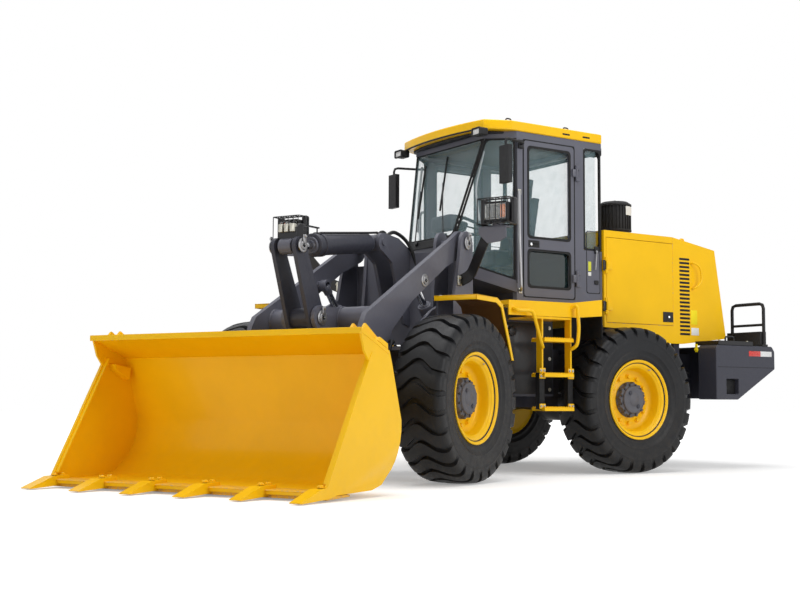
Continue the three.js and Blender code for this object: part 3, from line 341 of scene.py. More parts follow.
def mixed(tree, factor, first, second):
    """Colour mix of two colours or sockets by a factor socket."""
    node = add(tree, "ShaderNodeMix", data_type="RGBA")
    tree.links.new(factor, node.inputs["Factor"])
    for socket, value in (("A", first), ("B", second)):
        target = [i for i in node.inputs if i.name == socket and i.type == "RGBA"][0]
        if isinstance(value, bpy.types.NodeSocket):
            tree.links.new(value, target)
        else:
            target.default_value = value
    return [o for o in node.outputs if o.type == "RGBA"][0]


def finish_of(name, colour, rough=0.4, metal=0.0, *, shift=0.06, dust=0.12, ripple=0.02, ripple_scale=220,
              grain=30, rough_by=0.08, coat=0.0, spec=0.3, wear=0.0, sheen=0.0, dust_top=0.9):
    """A finish: tone shifted by large noise, gloss broken by fine noise, dust below dust_top metres."""
    material = bpy.data.materials.new(name)
    material.use_nodes = True
    tree = material.node_tree
    shader = tree.nodes["Principled BSDF"]
    coords = add(tree, "ShaderNodeTexCoord").outputs["Object"]
    light = tuple(min(1.0, c * (1 + shift)) for c in colour[:3]) + (1.0,)
    dark = tuple(c * (1 - shift) for c in colour[:3]) + (1.0,)
    patches = noise(tree, coords, 2.3, 4.0, 0.6)
    base = mixed(tree, ramp(tree, patches, 0.35, 0.65, 0.0, 1.0), dark, light)
    if dust:
        height = add(tree, "ShaderNodeSeparateXYZ")
        tree.links.new(coords, height.inputs[0])
        low = ramp(tree, height.outputs["Z"], 0.0, dust_top, dust, 0.0)
        speckle = ramp(tree, noise(tree, coords, 14, 6.0, 0.7), 0.4, 0.7, 0.2, 1.0)
        amount = add(tree, "ShaderNodeMath", operation="MULTIPLY")
        tree.links.new(low, amount.inputs[0])
        tree.links.new(speckle, amount.inputs[1])
        base = mixed(tree, amount.outputs[0], base, DUST)
    if wear:
        edge = add(tree, "ShaderNodeNewGeometry")
        scratch = ramp(tree, noise(tree, coords, 42, 5.0, 0.7), 0.5, 0.62, 0.0, wear)
        bare = add(tree, "ShaderNodeMath", operation="MULTIPLY")
        tree.links.new(ramp(tree, edge.outputs["Pointiness"], 0.53, 0.6, 0.0, 1.0), bare.inputs[0])
        tree.links.new(scratch, bare.inputs[1])
        base = mixed(tree, bare.outputs[0], base, tone(150, 150, 152))
    tree.links.new(base, shader.inputs["Base Color"])
    gloss = ramp(tree, noise(tree, coords, grain, 5.0, 0.6), 0.3, 0.7, rough - rough_by, rough + rough_by)
    tree.links.new(gloss, shader.inputs["Roughness"])
    if ripple:
        bump = add(tree, "ShaderNodeBump", Strength=ripple * 10, Distance=0.002)
        tree.links.new(noise(tree, coords, ripple_scale, 2.0, 0.5), bump.inputs["Height"])
        tree.links.new(bump.outputs["Normal"], shader.inputs["Normal"])
    shader.inputs["Metallic"].default_value = metal
    shader.inputs["Coat Weight"].default_value = coat
    shader.inputs["Coat Roughness"].default_value = 0.12
    shader.inputs["Specular IOR Level"].default_value = spec
    shader.inputs["Sheen Weight"].default_value = sheen
    return material


print("dust, scene-linear:", [round(part, 3) for part in DUST[:3]])


# %% The finishes of this machine
yellow_enamel = finish_of("yellow_enamel", tone(252, 197, 4), 0.36, coat=0.12, spec=0.2, ripple=0.012,
                          shift=0.03, dust=0.06)
grey_enamel = finish_of("grey_enamel", tone(92, 93, 104), 0.40, coat=0.12, ripple=0.015, shift=0.05,
                        dust=0.10)
deep_grey = finish_of("deep_grey", tone(54, 55, 65), 0.5, coat=0.06, ripple=0.02, dust=0.14)
black_enamel = finish_of("black_enamel", tone(24, 24, 27), 0.4, coat=0.1, ripple=0.02, shift=0.1)
black_plastic = finish_of("black_plastic", tone(26, 26, 28), 0.62, ripple=0.05, ripple_scale=600, shift=0.12)
gasket_rubber = finish_of("gasket_rubber", tone(14, 14, 15), 0.7, ripple=0.03, dust=0.0, shift=0.1)
hose_rubber = finish_of("hose_rubber", tone(20, 20, 22), 0.55, ripple=0.06, ripple_scale=900, dust=0.05)
tyre_rubber = finish_of("tyre_rubber", tone(24, 25, 28), 0.42, ripple=0.06, ripple_scale=160, shift=0.16,
                        dust=0.07, dust_top=1.2, rough_by=0.10, spec=0.20)
# brown for the sheet under each fender: painted shade of the fender's underside
under_seal = finish_of("under_seal", tone(104, 66, 22), 0.6, ripple=0.05, dust=0.1)
chrome_plate = finish_of("chrome_plate", tone(214, 216, 220), 0.12, 1.0, shift=0.02, dust=0, ripple=0.004,
                         rough_by=0.05)
bare_steel = finish_of("bare_steel", tone(150, 150, 152), 0.38, 0.85, shift=0.1, dust=0.05, ripple=0.03)
zinc_bolts = finish_of("zinc_bolts", tone(172, 170, 160), 0.35, 0.8, shift=0.12, dust=0.05, ripple=0.02)
hub_casting = finish_of("hub_casting", tone(92, 92, 98), 0.55, 0.2, shift=0.08, ripple=0.1, ripple_scale=140)
primer_orange = finish_of("primer_orange", tone(206, 92, 30), 0.5, shift=0.08, ripple=0.03)
worn_edge = finish_of("worn_edge", tone(246, 186, 20), 0.45, coat=0.1, shift=0.05, dust=0.25, wear=0.8,
                      dust_top=0.3)
red_reflector = finish_of("red_reflector", tone(216, 44, 32), 0.25, coat=0.5, shift=0.03, dust=0, ripple=0.2,
                          ripple_scale=420)
white_reflector = finish_of("white_reflector", tone(236, 236, 236), 0.3, coat=0.5, shift=0.02, dust=0,
                            ripple=0.2, ripple_scale=420)
amber_lens = finish_of("amber_lens", tone(226, 120, 20), 0.12, coat=0.6, shift=0.05, dust=0, ripple=0.15)
lamp_mirror = finish_of("lamp_mirror", tone(240, 240, 238), 0.30, 0.35, shift=0.04, dust=0, ripple=0.15,
                        ripple_scale=90)
mirror_face = finish_of("mirror_face", tone(205, 212, 218), 0.04, 1.0, shift=0.01, dust=0, ripple=0,
                        rough_by=0.01)
louvre_shadow = finish_of("louvre_shadow", tone(12, 12, 13), 0.7, shift=0.1, dust=0.0)
engine_iron = finish_of("engine_iron", tone(70, 72, 76), 0.6, 0.4, shift=0.12, ripple=0.1, ripple_scale=60)
white_label = finish_of("white_label", tone(232, 232, 228), 0.5, shift=0.01, dust=0, ripple=0.01)
yellow_label = finish_of("yellow_label", tone(250, 226, 20), 0.5, shift=0.01, dust=0, ripple=0.01)
lime_label = finish_of("lime_label", tone(214, 214, 70), 0.5, shift=0.02, dust=0, ripple=0.01)
print("opaque finishes, from", yellow_enamel.name, "to", lime_label.name)


# %% [markdown]
# Window glass is thin and tempered, with a faint green-blue body colour.  A refracting slab would be
# truer but would darken the cab, because light has to be traced through two faces; a partly clear
# glossy skin lets the light in and keeps the reflections.  Lamp lenses are the same with less colour.

# %% Glass
def glazing(name, colour, cover, rough=0.03):
    """A glossy skin that covers a share of what is behind it, a little more where rain has dried."""
    material = bpy.data.materials.new(name)
    material.use_nodes = True
    tree = material.node_tree
    shader = tree.nodes["Principled BSDF"]
    coords = add(tree, "ShaderNodeTexCoord").outputs["Object"]
    streaks = ramp(tree, noise(tree, coords, 9, 4.0, 0.6), 0.4, 0.8, cover, cover + 0.05)
    tree.links.new(streaks, shader.inputs["Alpha"])
    smear = ramp(tree, noise(tree, coords, 30, 3.0, 0.5), 0.3, 0.7, rough, rough + 0.05)
    tree.links.new(smear, shader.inputs["Roughness"])
    shader.inputs["Base Color"].default_value = colour
    shader.inputs["Coat Weight"].default_value = 1.0
    shader.inputs["Coat Roughness"].default_value = 0.02
    shader.inputs["Specular IOR Level"].default_value = 0.5
    return material


cab_glass = glazing("cab_glass", tone(168, 205, 212), 0.10)
tinted_glass = glazing("tinted_glass", tone(36, 52, 54), 0.66)
lens_glass = glazing("lens_glass", tone(210, 216, 218), 0.22)
print("glass:", cab_glass.name, tinted_glass.name, lens_glass.name)


# %% Seat cloth: two sets of threads crossing
BAND_FIT = 3.14  # a wave texture of scale 1 repeats every 0.314 m; this makes a band two threads wide


def woven(name, colour, thread=0.0022):
    """Cloth: bands of warp and weft multiplied into a bump, and a coarser fleck in the colour."""
    material = finish_of(name, colour, 0.88, shift=0.14, dust=0, ripple=0, sheen=0.4, spec=0.2)
    tree = material.node_tree
    shader = tree.nodes["Principled BSDF"]
    coords = add(tree, "ShaderNodeTexCoord").outputs["Object"]
    height = None
    for axis in ("X", "Y"):
        wave = add(tree, "ShaderNodeTexWave", wave_type="BANDS", bands_direction=axis,
                   Scale=0.5 / thread / BAND_FIT)
        wave.inputs["Distortion"].default_value = 0.6
        tree.links.new(coords, wave.inputs["Vector"])
        if height is None:
            height = wave.outputs["Fac"]
        else:
            cross = add(tree, "ShaderNodeMath", operation="MULTIPLY")
            tree.links.new(height, cross.inputs[0])
            tree.links.new(wave.outputs["Fac"], cross.inputs[1])
            height = cross.outputs[0]
    bump = add(tree, "ShaderNodeBump", Strength=0.5, Distance=0.001)
    tree.links.new(height, bump.inputs["Height"])
    tree.links.new(bump.outputs["Normal"], shader.inputs["Normal"])
    return material


seat_cloth = woven("seat_cloth", tone(64, 70, 78))
seat_side = woven("seat_side", tone(34, 36, 40))
print(len(bpy.data.materials), "finishes")


# %% [markdown]
# A loader tyre carries broad chevron lugs that run from the crown over the shoulder.  Lugs could be
# blocks scattered round a smooth ring, but their feet would show as cuts.  Here the whole tyre is one
# sheet over two parameters: the angle round the wheel and the distance across it.  The grid is sheared
# along the chevron, so that lug edges fall on grid lines and stay crisp.

# %% One tyre surface
LUGS = 27
# across the tyre, from the outer bead over the crown: (radius, offset) of the carcass, and of a lug's top
HALF_CARCASS = np.array([[.331, .150], [.333, .172], [.346, .1795], [.368, .181], [.384, .186],
                         [.392, .1935], [.402, .197], [.414, .1965], [.424, .2005], [.445, .207],
                         [.452, .2115], [.460, .210], [.485, .215], [.520, .2185], [.548, .2185],
                         [.553, .2205], [.560, .2185], [.572, .2175], [.590, .2125], [.606, .204],
                         [.622, .190], [.633, .172], [.6395, .150], [.643, .118], [.6445, .080],
                         [.645, .040], [.645, .012]])
HALF_CREST = HALF_CARCASS.copy()
HALF_CREST[17:] = [[.578, .2205], [.598, .2215], [.620, .2205], [.640, .2130], [.6560, .1960],
                   [.6650, .1680], [.6695, .1300], [.6720, .0880], [.6735, .0450], [.6738, .0130]]
CHEVRON_AT = [0.0, 0.03, 0.12, 0.165, 0.19, 0.23]
CHEVRON = [0.0, 0.05, 0.56, 0.66, 0.66, 0.62]


def tyre_surface(joint, side):
    """Point(angle, offset) = carcass + k * (crest - carcass), where k is 1 on a lug and 0 in a groove, and
    the angle is moved back by the chevron, a share of one pitch that grows with the offset."""
    across = np.concatenate([HALF_CARCASS, HALF_CARCASS[::-1] * [1, -1]])
    crest = np.concatenate([HALF_CREST, HALF_CREST[::-1] * [1, -1]])
    phase = np.array([0.0, 0.035, 0.2, 0.38, 0.56, 0.725, 0.76, 0.88])
    on_lug = np.array([0, 1, 1, 1, 1, 1, 0, 0.0])
    turn = (np.arange(LUGS)[:, None] + phase).ravel()
    lug = np.tile(on_lug, LUGS)[:, None, None]
    section = across[None] + lug * (crest - across)[None]
    shear = np.interp(np.abs(across[:, 1]), CHEVRON_AT, CHEVRON)
    angle = 2 * np.pi / LUGS * (turn[:, None] - shear[None])
    centre = pin(joint, "front" in joint)
    points = np.stack([section[..., 0] * np.cos(angle), side * section[..., 1],
                       section[..., 0] * np.sin(angle)], axis=-1)
    return [sheet_of(centre + points, wrap_u=True, wrap_v=True)]


print("tread depth", round(float((HALF_CREST - HALF_CARCASS)[:, 0].max()), 4), "m")


# %% [markdown]
# The rim is one turned part: a rolled flange, a lock ring, a deep barrel and a dished disc.  The
# planetary drive's cover stands out of the disc.  All are lathe profiles, so the highlights run true
# round them, and the bolts are six-sided lathes.

# %% Rim, nuts and hub cover
RIM = [(.150, -.170), (.316, -.176), (.340, -.180), (.364, -.1905), (.3675, -.188), (.3665, -.180),
       (.352, -.172), (.3295, -.168), (.3295, .168), (.352, .172), (.3665, .180), (.3675, .187),
       (.364, .1915), (.356, .1915), (.347, .186), (.341, .176), (.336, .170), (.326, .166), (.316, .164),
       (.308, .158), (.304, .150), (.300, .148), (.294, .142), (.290, .130), (.287, .080), (.282, .056),
       (.270, .042), (.235, .034), (.200, .034), (.176, .046), (.150, .046), (.150, -.170)]
HUB = [(.02, .030), (.164, .030), (.164, .056), (.156, .060), (.152, .064), (.152, .092), (.148, .098),
       (.131, .100), (.127, .104), (.127, .116), (.122, .121), (.100, .123), (.096, .121), (.060, .121),
       (.056, .125), (.0, .126), (.0, .030)]


def on_wheel(joint, side, ring, offset, count, start=0.0):
    """Points of a ring about the wheel's axle."""
    turn = np.linspace(0, 2 * np.pi, count, endpoint=False) + start
    flat = np.stack([ring * np.cos(turn), np.full(count, side * offset), ring * np.sin(turn)], axis=1)
    return pin(joint, "front" in joint) + flat


for fore in ("front", "rear"):
    for hand, side in (("left", 1), ("right", -1)):
        label, joint = f"{hand}_{fore}", f"{hand}_{fore}_wheel_spin"
        body = f"{label}_wheel"
        hub = pin(joint, fore == "front")
        out = hub + [0, side, 0]
        piece(f"{label}_tyre_tread", tyre_surface(joint, side), tyre_rubber, body, 34,
              replaces=(f"{label}_tyre",))
        piece(f"{label}_rim_turned", [turned(RIM, hub, out, 96)], yellow_enamel, body, 50,
              replaces=(f"{label}_rim",))
        piece(f"{label}_wheel_nuts", bolts(on_wheel(joint, side, .214, .034, 12), (0, side, 0), .034, .024),
              yellow_enamel, body)
        cover = [turned(HUB, hub, out, 64)]
        for spot in on_wheel(joint, side, .150, .056, 12, .13):
            cover.append(turned([(0, 0), (.0165, 0), (.0165, .034), (.013, .040), (0, .040)], spot,
                                spot + [0, side, 0], 14))
        piece(f"{label}_drive_cover", cover, hub_casting, body, 45)
        studs = bolts(on_wheel(joint, side, .1405, .098, 12, .26), (0, side, 0), .018, .012, False)
        studs += bolts(on_wheel(joint, side, .078, .121, 2, .9), (0, side, 0), .03, .008)
        piece(f"{label}_cover_bolts", studs, deep_grey, body)
        valve = hub + np.array([.318 * math.cos(2.1), side * .150, .318 * math.sin(2.1)])
        stem = rounded([valve, valve + [0, side * .02, 0], valve + [.035, side * .03, 0]], .01)
        piece(f"{label}_valve", [tube(stem, .006, 10)], zinc_bolts, body)
print("4 wheels,", LUGS, "lugs each")

# %% [markdown]
# A hydraulic cylinder is a barrel with a welded eye, a screwed gland at its mouth, and a chromed rod.
# The bore is a real hole, because the rod slides into it.

# %% Hydraulic cylinders
def ram(label, barrel_joint, eye, ahead, size, upright=False):
    """Barrel and rod from the two eye centres: lathes along the line between them, eyes across it."""
    base, eye = pin(barrel_joint, ahead), np.asarray(eye, float)
    run = eye - base
    length = np.linalg.norm(run)
    run = run / length
    cross = np.array([0, 0, 1.0]) if upright else np.array([0, 1.0, 0])
    r, rod, mouth = size["barrel"], size["rod"], size["mouth"]
    floor = size["eye"] + 0.04
    skin_line = [(0, size["eye"] * .6), (r * .72, size["eye"] * .62), (r * .94, size["eye"] * .85),
                 (r, size["eye"] * 1.1), (r, mouth - .105), (r * 1.09, mouth - .100),
                 (r * 1.09, mouth - .066), (r * 1.03, mouth - .062), (r * 1.03, mouth - .052),
                 (r * 1.13, mouth - .048), (r * 1.13, mouth - .010), (r * 1.06, mouth), (rod * 1.42, mouth),
                 (rod * 1.3, mouth + .008), (rod + .0006, mouth + .008), (rod + .0006, floor), (0, floor)]
    barrel = [turned(skin_line, base, eye, 48),
              eye_ring(base, cross, size["eye"], size["eye_half"], size["pin"])]
    piece(f"{label}_barrel_turned", barrel, grey_enamel, f"{label}_barrel", 42,
          replaces=(f"{label}_barrel",))
    start = base + run * size["inside"]
    rod_end = length - size["inside"] - size["rod_eye"] * .7
    rod_line = [(0, 0), (rod, 0), (rod, rod_end), (0, rod_end)]
    piece(f"{label}_rod_turned", [turned(rod_line, start, eye, 40)], chrome_plate, f"{label}_rod", 42,
          replaces=(f"{label}_rod",))
    head = [eye_ring(eye, cross, size["rod_eye"], size["rod_half"], size["pin"])]
    neck = size["rod_eye"]
    collar = [(0, 0), (neck * .62, 0), (neck * .80, neck * .35), (neck * .80, neck * .6),
              (rod * 1.28, neck * 1.35), (rod * 1.28, neck * 1.6), (rod * .9, neck * 1.65),
              (0, neck * 1.65)]
    head.append(turned(collar, eye, base, 40))
    piece(f"{label}_rod_head", head, grey_enamel, f"{label}_rod", 42)
    return base, eye, run, cross


def eye_ring(centre, cross, radius, half, hole):
    """A bored eye: a closed lathe profile about the cross axis, with a chamfer at each edge."""
    edge = radius * .06
    profile = [(hole, -half), (radius - edge, -half), (radius, -half + edge), (radius, half - edge),
               (radius - edge, half), (hole, half), (hole, -half)]
    return turned(profile, centre, centre + cross, 48)


TILT = dict(barrel=.062, rod=.032, mouth=.952, inside=.150, eye=.070, eye_half=.064, pin=.0325, rod_eye=.062,
            rod_half=.060)
LIFT = dict(barrel=.054, rod=.030, mouth=.952, inside=.140, eye=.058, eye_half=.040, pin=.0325, rod_eye=.052,
            rod_half=.032)
TURN = dict(barrel=.044, rod=.022, mouth=.512, inside=.160, eye=.044, eye_half=.030, pin=.0265, rod_eye=.038,
            rod_half=.022)
# the tilt cylinder is the fat one: a sleeve with end rings over its barrel
tilt_base, tilt_eye, tilt_run, _ = ram("tilt_cylinder", "tilt_barrel_turn", (2.350, 0, 1.850), True, TILT)
lift = {}
sleeve = [(.060, .115), (.080, .120), (.086, .135), (.086, .800), (.096, .804), (.096, .842), (.088, .846),
          (.088, .880), (.096, .884), (.096, .925), (.084, .935), (.060, .937)]
piece("tilt_sleeve", [turned(sleeve, tilt_base, tilt_eye, 56)], deep_grey, "tilt_cylinder_barrel", 42)
for hand, side in (("left", 1), ("right", -1)):
    lift[hand] = ram(f"{hand}_lift_cylinder", f"{hand}_lift_barrel_turn", (1.190, side * .452, 1.655), True,
                     LIFT)
    steer_eye = unplace(place((.240, side * .265, .720), True))
    # the right one stands drawn out while the machine is turned left, so its rod starts further along,
    # or it would come out behind the barrel when the machine turns right
    buried = dict(TURN, inside=.42) if hand == "right" else TURN
    ram(f"{hand}_steering_cylinder", f"{hand}_steering_barrel_turn", steer_eye, False, buried, upright=True)


def fitting(spot, towards, size=.016):
    """A hose end: a hexagon nut turned with 6 sides, and a crimped sleeve turned with 16."""
    spot, towards = np.asarray(spot, float), np.asarray(towards, float)
    towards = towards / np.linalg.norm(towards)
    nut = turned([(0, 0), (size * 1.3, 0), (size * 1.3, size * 1.2), (0, size * 1.2)], spot, spot + towards,
                 6)
    sleeve = turned([(0, size), (size * .95, size), (size * .95, size * 3.4), (size * .8, size * 3.6),
                     (0, size * 3.6)], spot, spot + towards, 16)
    return [nut, sleeve]


# steel pipes that lie along each lift barrel, held by two bands
for hand in ("left", "right"):
    base, eye, run, cross = lift[hand]
    side = 1 if hand == "left" else -1
    lean = np.array([-run[2], 0, run[0]])
    for k, (start, stop) in enumerate(((.16, .86), (.12, .20))):
        over = lean * (.064 + .02 * k)
        path = rounded([base + run * start + lean * .05, base + run * start + over, base + run * stop + over,
                        base + run * stop + lean * .05], .03)
        piece(f"{hand}_lift_pipe_{k}", [tube(path + np.array([0, side * .02 * (k - .5), 0]), .009, 12)],
              black_enamel, f"{hand}_lift_cylinder_barrel")
    bands = [turned([(.0545, -.012), (.059, -.012), (.059, .012), (.0545, .012), (.0545, -.012)],
                    base + run * at, base + run * (at + 1), 32) for at in (.30, .62)]
    piece(f"{hand}_lift_pipe_bands", bands, zinc_bolts, f"{hand}_lift_cylinder_barrel")
print("cylinders placed")


# %% [markdown]
# Plate work is folded or welded from sheet, so what tells it from a toy is the soft bright line along
# every edge.  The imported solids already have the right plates; a copy with its flat triangles merged
# takes a small bevel on each edge, and the weld beads and fittings are added on top.

# %% Welded plate work of the front end
skin("front_frame", grey_enamel, "front_frame", .004)
skin("boom", grey_enamel, "boom", .006)
skin("bell_crank", deep_grey, "bell_crank", .005)
skin("bucket_link", grey_enamel, "bucket_link", .005)
skin("bucket", yellow_enamel, "bucket", .0035, 32)
skin("front_axle", black_enamel, "front_frame", .004, 50)

ARM, CRANK, CRANK_TOP = pin("boom_lift"), pin("bell_crank_turn"), tilt_eye
BUCKET, LINK = pin("bucket_tilt"), pin("bucket_link_turn")
LIFT_EYE = lift["left"][1]


def pin_head(centre, side, offset, radius, plate=True):
    """A pin's end: chamfered head, collar, a keeper plate with its screw, and a grease nipple."""
    spot = np.array([centre[0], side * offset, centre[2]])
    out = spot + [0, side, 0]
    parts = [turned([(0, -.004), (radius, -.004), (radius, .008), (radius * .86, .013), (0, .013)], spot,
                    out, 40)]
    parts.append(turned([(radius * 1.02, -.004), (radius * 1.55, -.004), (radius * 1.55, .003),
                         (radius * 1.45, .006), (radius * 1.02, .006), (radius * 1.02, -.004)], spot, out,
                         40))
    if plate:
        low = spot + [-radius * .5, side * .012, radius * .62]
        high = spot + [radius * .5, side * .021, radius * 2.3]
        parts.append(soft_box(low, high, .003))
        parts += bolts([spot + [0, side * .021, radius * 1.9]], (0, side, 0), .022, .012)
    parts += [turned([(0, 0), (.006, 0), (.006, .010), (.004, .012), (.005, .018), (0, .020)],
                     spot + [0, side * .013, 0], out + [0, side * .013, 0], 10)]
    return parts


for hand, side in (("left", 1), ("right", -1)):
    piece(f"{hand}_tower_pin_head", pin_head(ARM, side, .633, .038), bare_steel, "front_frame")
    piece(f"{hand}_bucket_pin_head", pin_head(BUCKET, side, .617, .038), bare_steel, "bucket")
    piece(f"{hand}_crank_pin_head", pin_head(CRANK, side, .172, .038), bare_steel, "boom")
    piece(f"{hand}_crank_top_pin_head", pin_head(CRANK_TOP, side, .143, .036), bare_steel, "bell_crank")
    piece(f"{hand}_lift_eye_pin_head", pin_head(LIFT_EYE, side, .561, .036, False), bare_steel, "boom")
    piece(f"{hand}_link_pin_head", pin_head(LINK, side, .131, .030), bare_steel, "bucket")


def weld(path, radius=.006):
    """A weld bead: a bar along a seam whose radius swells and shrinks as cos of the distance."""
    path = np.asarray(path, float)
    steps = np.concatenate([[0], np.cumsum(np.linalg.norm(np.diff(path, axis=0), axis=1))])
    count = max(int(steps[-1] / .012), 2)
    s = np.linspace(0, steps[-1], count)
    line = np.stack([np.interp(s, steps, path[:, k]) for k in range(3)], axis=1)
    points, faces = tube(line, radius, 8)
    rings = points.reshape(count, 8, 3)
    swell = 1 + .16 * np.cos(np.arange(count) * np.pi)[:, None, None]
    return (line[:, None] + (rings - line[:, None]) * swell).reshape(-1, 3), faces


def ring_weld(centre, cross_at, radius, bead=.007):
    """A weld round a cross tube."""
    loop = arc((centre[0], centre[2]), radius, 0, 360, 48)
    return weld(np.stack([loop[:, 0], np.full(len(loop), cross_at), loop[:, 1]], axis=1), bead)


TUBE_AT = np.array([1.8, 0, 1.3])
beads = []
for side in (1, -1):
    beads += [ring_weld(TUBE_AT, side * .512, .107), ring_weld(TUBE_AT, side * .166, .107, .005),
              ring_weld(TUBE_AT, side * .124, .107, .005)]
    beads.append(weld([(.455, side * .588, 1.25), (.465, side * .588, 1.88)]))
piece("boom_welds", beads[:3] + beads[4:7], grey_enamel, "boom")
piece("tower_welds", [beads[3], beads[7]], grey_enamel, "front_frame")
print("front plate work, pin heads and", len(beads), "weld beads")


# %% [markdown]
# The head of the tilt cylinder's rod carries a bucket position indicator: a thin bar in a guide with
# small limit switch blocks.  It slides with the rod, above the barrel, so it never meets the crank.

# %% Bucket position indicator and tilt cylinder hoses
top = CRANK_TOP + [-.02, 0, .075]
piece("indicator_bracket", [cut_plate([(top[0] - .075, top[2] - .03), (top[0] + .03, top[2] - .03),
                                       (top[0] + .03, top[2] + .070), (top[0] - .02, top[2] + .105),
                                       (top[0] - .075, top[2] + .105)], -.085, .085)],
      black_enamel, "tilt_cylinder_rod", bevel=.004)
blocks = [soft_box((top[0] + .005, y - .02, top[2] + .035), (top[0] + .055, y + .02, top[2] + .10), .006)
          for y in (-.055, 0, .055)]
piece("indicator_switches", blocks, zinc_bolts, "tilt_cylinder_rod", bevel=.002)
leads = [tube(smooth_path([(top[0] + .03, y, top[2] + .10), (top[0] - .01, y * .7, top[2] + .135),
                           (top[0] - .075, y * .4, top[2] + .12), (top[0] - .10, y * .3, top[2] + .02)]),
              .007, 10)
         for y in (-.055, 0, .055)]
piece("indicator_leads", leads, hose_rubber, "tilt_cylinder_rod")
plate_at = top + [-.27, 0, .118]
piece("indicator_slide", [soft_box((plate_at[0] - .12, -.012, plate_at[2] - .006),
                                   (plate_at[0] + .25, .012, plate_at[2] + .006), .003),
                          tube([(plate_at[0] - .10, 0, plate_at[2]),
                                (plate_at[0] - .10, 0, plate_at[2] - .085)], .006, 10)],
      black_enamel, "tilt_cylinder_rod")


def hose(name, knots, radius, body, ends=True):
    """A hydraulic hose on one smooth curve, with a fitting at each end."""
    path = smooth_path(knots, 10)
    print(name, round(float(np.linalg.norm(np.diff(path, axis=0), axis=1).sum()), 3), "m long,", 2 * radius,
          "m across")
    piece(name, [tube(path, radius, 14)], hose_rubber, body)
    if ends:
        tips = fitting(path[0], path[1] - path[0], radius) + fitting(path[-1], path[-2] - path[-1], radius)
        piece(f"{name}_ends", tips, zinc_bolts, body)


up = np.array([-tilt_run[2], 0, tilt_run[0]])
for k, y in enumerate((.028, -.028)):
    near, far = tilt_base + tilt_run * .14 + up * .055, tilt_base + tilt_run * .86 + up * .062
    y_off = np.array([0, y, 0])
    piece(f"tilt_pipe_{k}", [tube(rounded([far + y_off, far + up * .035 + y_off, near + up * .03 + y_off * 2,
                                           near + up * .03 - tilt_run * .12 + y_off * 2], .03), .010, 12)],
          black_enamel, "tilt_cylinder_barrel")
hose("tilt_hose_left", [(1.00, .055, 2.085), (.86, .06, 2.13), (.72, .10, 2.06), (.66, .15, 1.90),
                        (.655, .18, 1.72)],
     .016, "front_frame")
hose("tilt_hose_right", [(1.00, -.055, 2.085), (.86, -.06, 2.14), (.70, -.10, 2.07), (.645, -.15, 1.90),
                         (.64, -.18, 1.70)], .016, "front_frame")
piece("tilt_port_block", [soft_box((.985, -.075, 2.055), (1.03, .075, 2.10), .008)], zinc_bolts,
      "front_frame")

# three hoses that run down between the tower plates on each side, and one to each lift cylinder
for side, hand in ((1, "left"), (-1, "right")):
    for k in range(3):
        y = side * (.20 + .04 * k)
        hose(f"{hand}_tower_hose_{k}", [(.62, y, 1.55 - .05 * k), (.50, y * 1.05, 1.40),
                                        (.36, y * 1.02, 1.22 - .05 * k), (.26, y * .95, 1.13),
                                        (.18, y * .92, 1.09 - .03 * k)], .013, "front_frame")
    hose(f"{hand}_lift_hose", [(.66, side * .33, 1.10), (.60, side * .40, 1.02), (.52, side * .455, .96),
                               (.48, side * .46, .90)], .013, "front_frame")


# %% [markdown]
# The bucket wears at its lip, so the lip is a hard bolted edge under separate teeth, and the back
# carries ribs.  A rolled bar stiffens the top rim, and pointed gussets tie it to the end plates.

# %% Bucket fittings
HALF = 1.24
fittings = []
rim_top = np.array([3.203, 1.132])
rim_low = np.array([2.842, .986])
slope = (rim_top - rim_low) / np.linalg.norm(rim_top - rim_low)
normal = np.array([-slope[1], slope[0]])
back_bar = [rim_low + slope * .01 + normal * .016, rim_low + slope * .16 + normal * .016,
            rim_low + slope * .14 + normal * .052, rim_low + slope * .03 + normal * .052]
fittings.append(cut_plate(back_bar, -HALF + .004, HALF - .004))
for side in (1, -1):
    for y0 in (HALF - .075, HALF - .17):
        fin = [(2.852, 1.000), (2.872, 1.010), (3.120, 1.112), (3.055, 1.178), (2.845, 1.050)]
        fittings.append(cut_plate(fin, side * y0, side * (y0 + .02)))
for y in (-.98, -.62, -.24, .24, .62, .98):
    outer = arc((3.08, .48), .440, 232, 178, 14)
    inner = arc((3.08, .48), .404, 178, 232, 14)
    fittings.append(cut_plate(np.concatenate([outer, inner]), y - .012, y + .012))
# the bar along the top rim, a stiffening plate inside each end, a ridge along each side edge, and a
# gusset behind each top corner
lip_bar = [cut_plate([(3.192, 1.141), (3.214, 1.141), (3.214, 1.098), (3.192, 1.098)], -HALF, HALF)]
for y0, y1 in ((-HALF + .003, -HALF + .022), (HALF - .022, HALF - .003)):
    lip_bar.append(cut_plate([(2.850, .985), (3.206, 1.138), (3.150, .985), (3.062, .880), (2.880, .860)],
                             y0, y1))
for side in (1, -1):
    bar = [(3.046, side * (HALF - .030), .965), (3.548, side * (HALF - .030), .110)]
    lip_bar.append(swept(np.linspace(*np.array(bar), 4),
                         [(-.008, -.022), (.008, -.022), (.008, .022), (-.008, .022)], helper=(0, 1, 0)))
    lip_bar.append(cut_plate([(2.850, .900), (3.030, .925), (3.010, .880), (2.860, .800)],
                             side * (HALF - .090), side * (HALF - .02)))
piece("bucket_lip_bar", lip_bar, yellow_enamel, "bucket", bevel=.003)
piece("bucket_stiffeners", fittings, yellow_enamel, "bucket", bevel=.003)
edge = [cut_plate([(3.30, .0375), (3.30, .022), (3.57, .012), (3.57, .0365)], -HALF + .01, HALF - .01)]
piece("bucket_wear_plate", edge, worn_edge, "bucket", bevel=.003)
studs = [(x, y, .094) for y in np.linspace(-HALF + .0475, HALF - .0475, 6) for x in (3.505, 3.585)]
piece("tooth_bolts", bolts(studs, (0, 0, 1), .036, .016), yellow_enamel, "bucket")
lip = [(3.44, .061), (3.44, .068), (3.60, .068), (3.612, .061)]
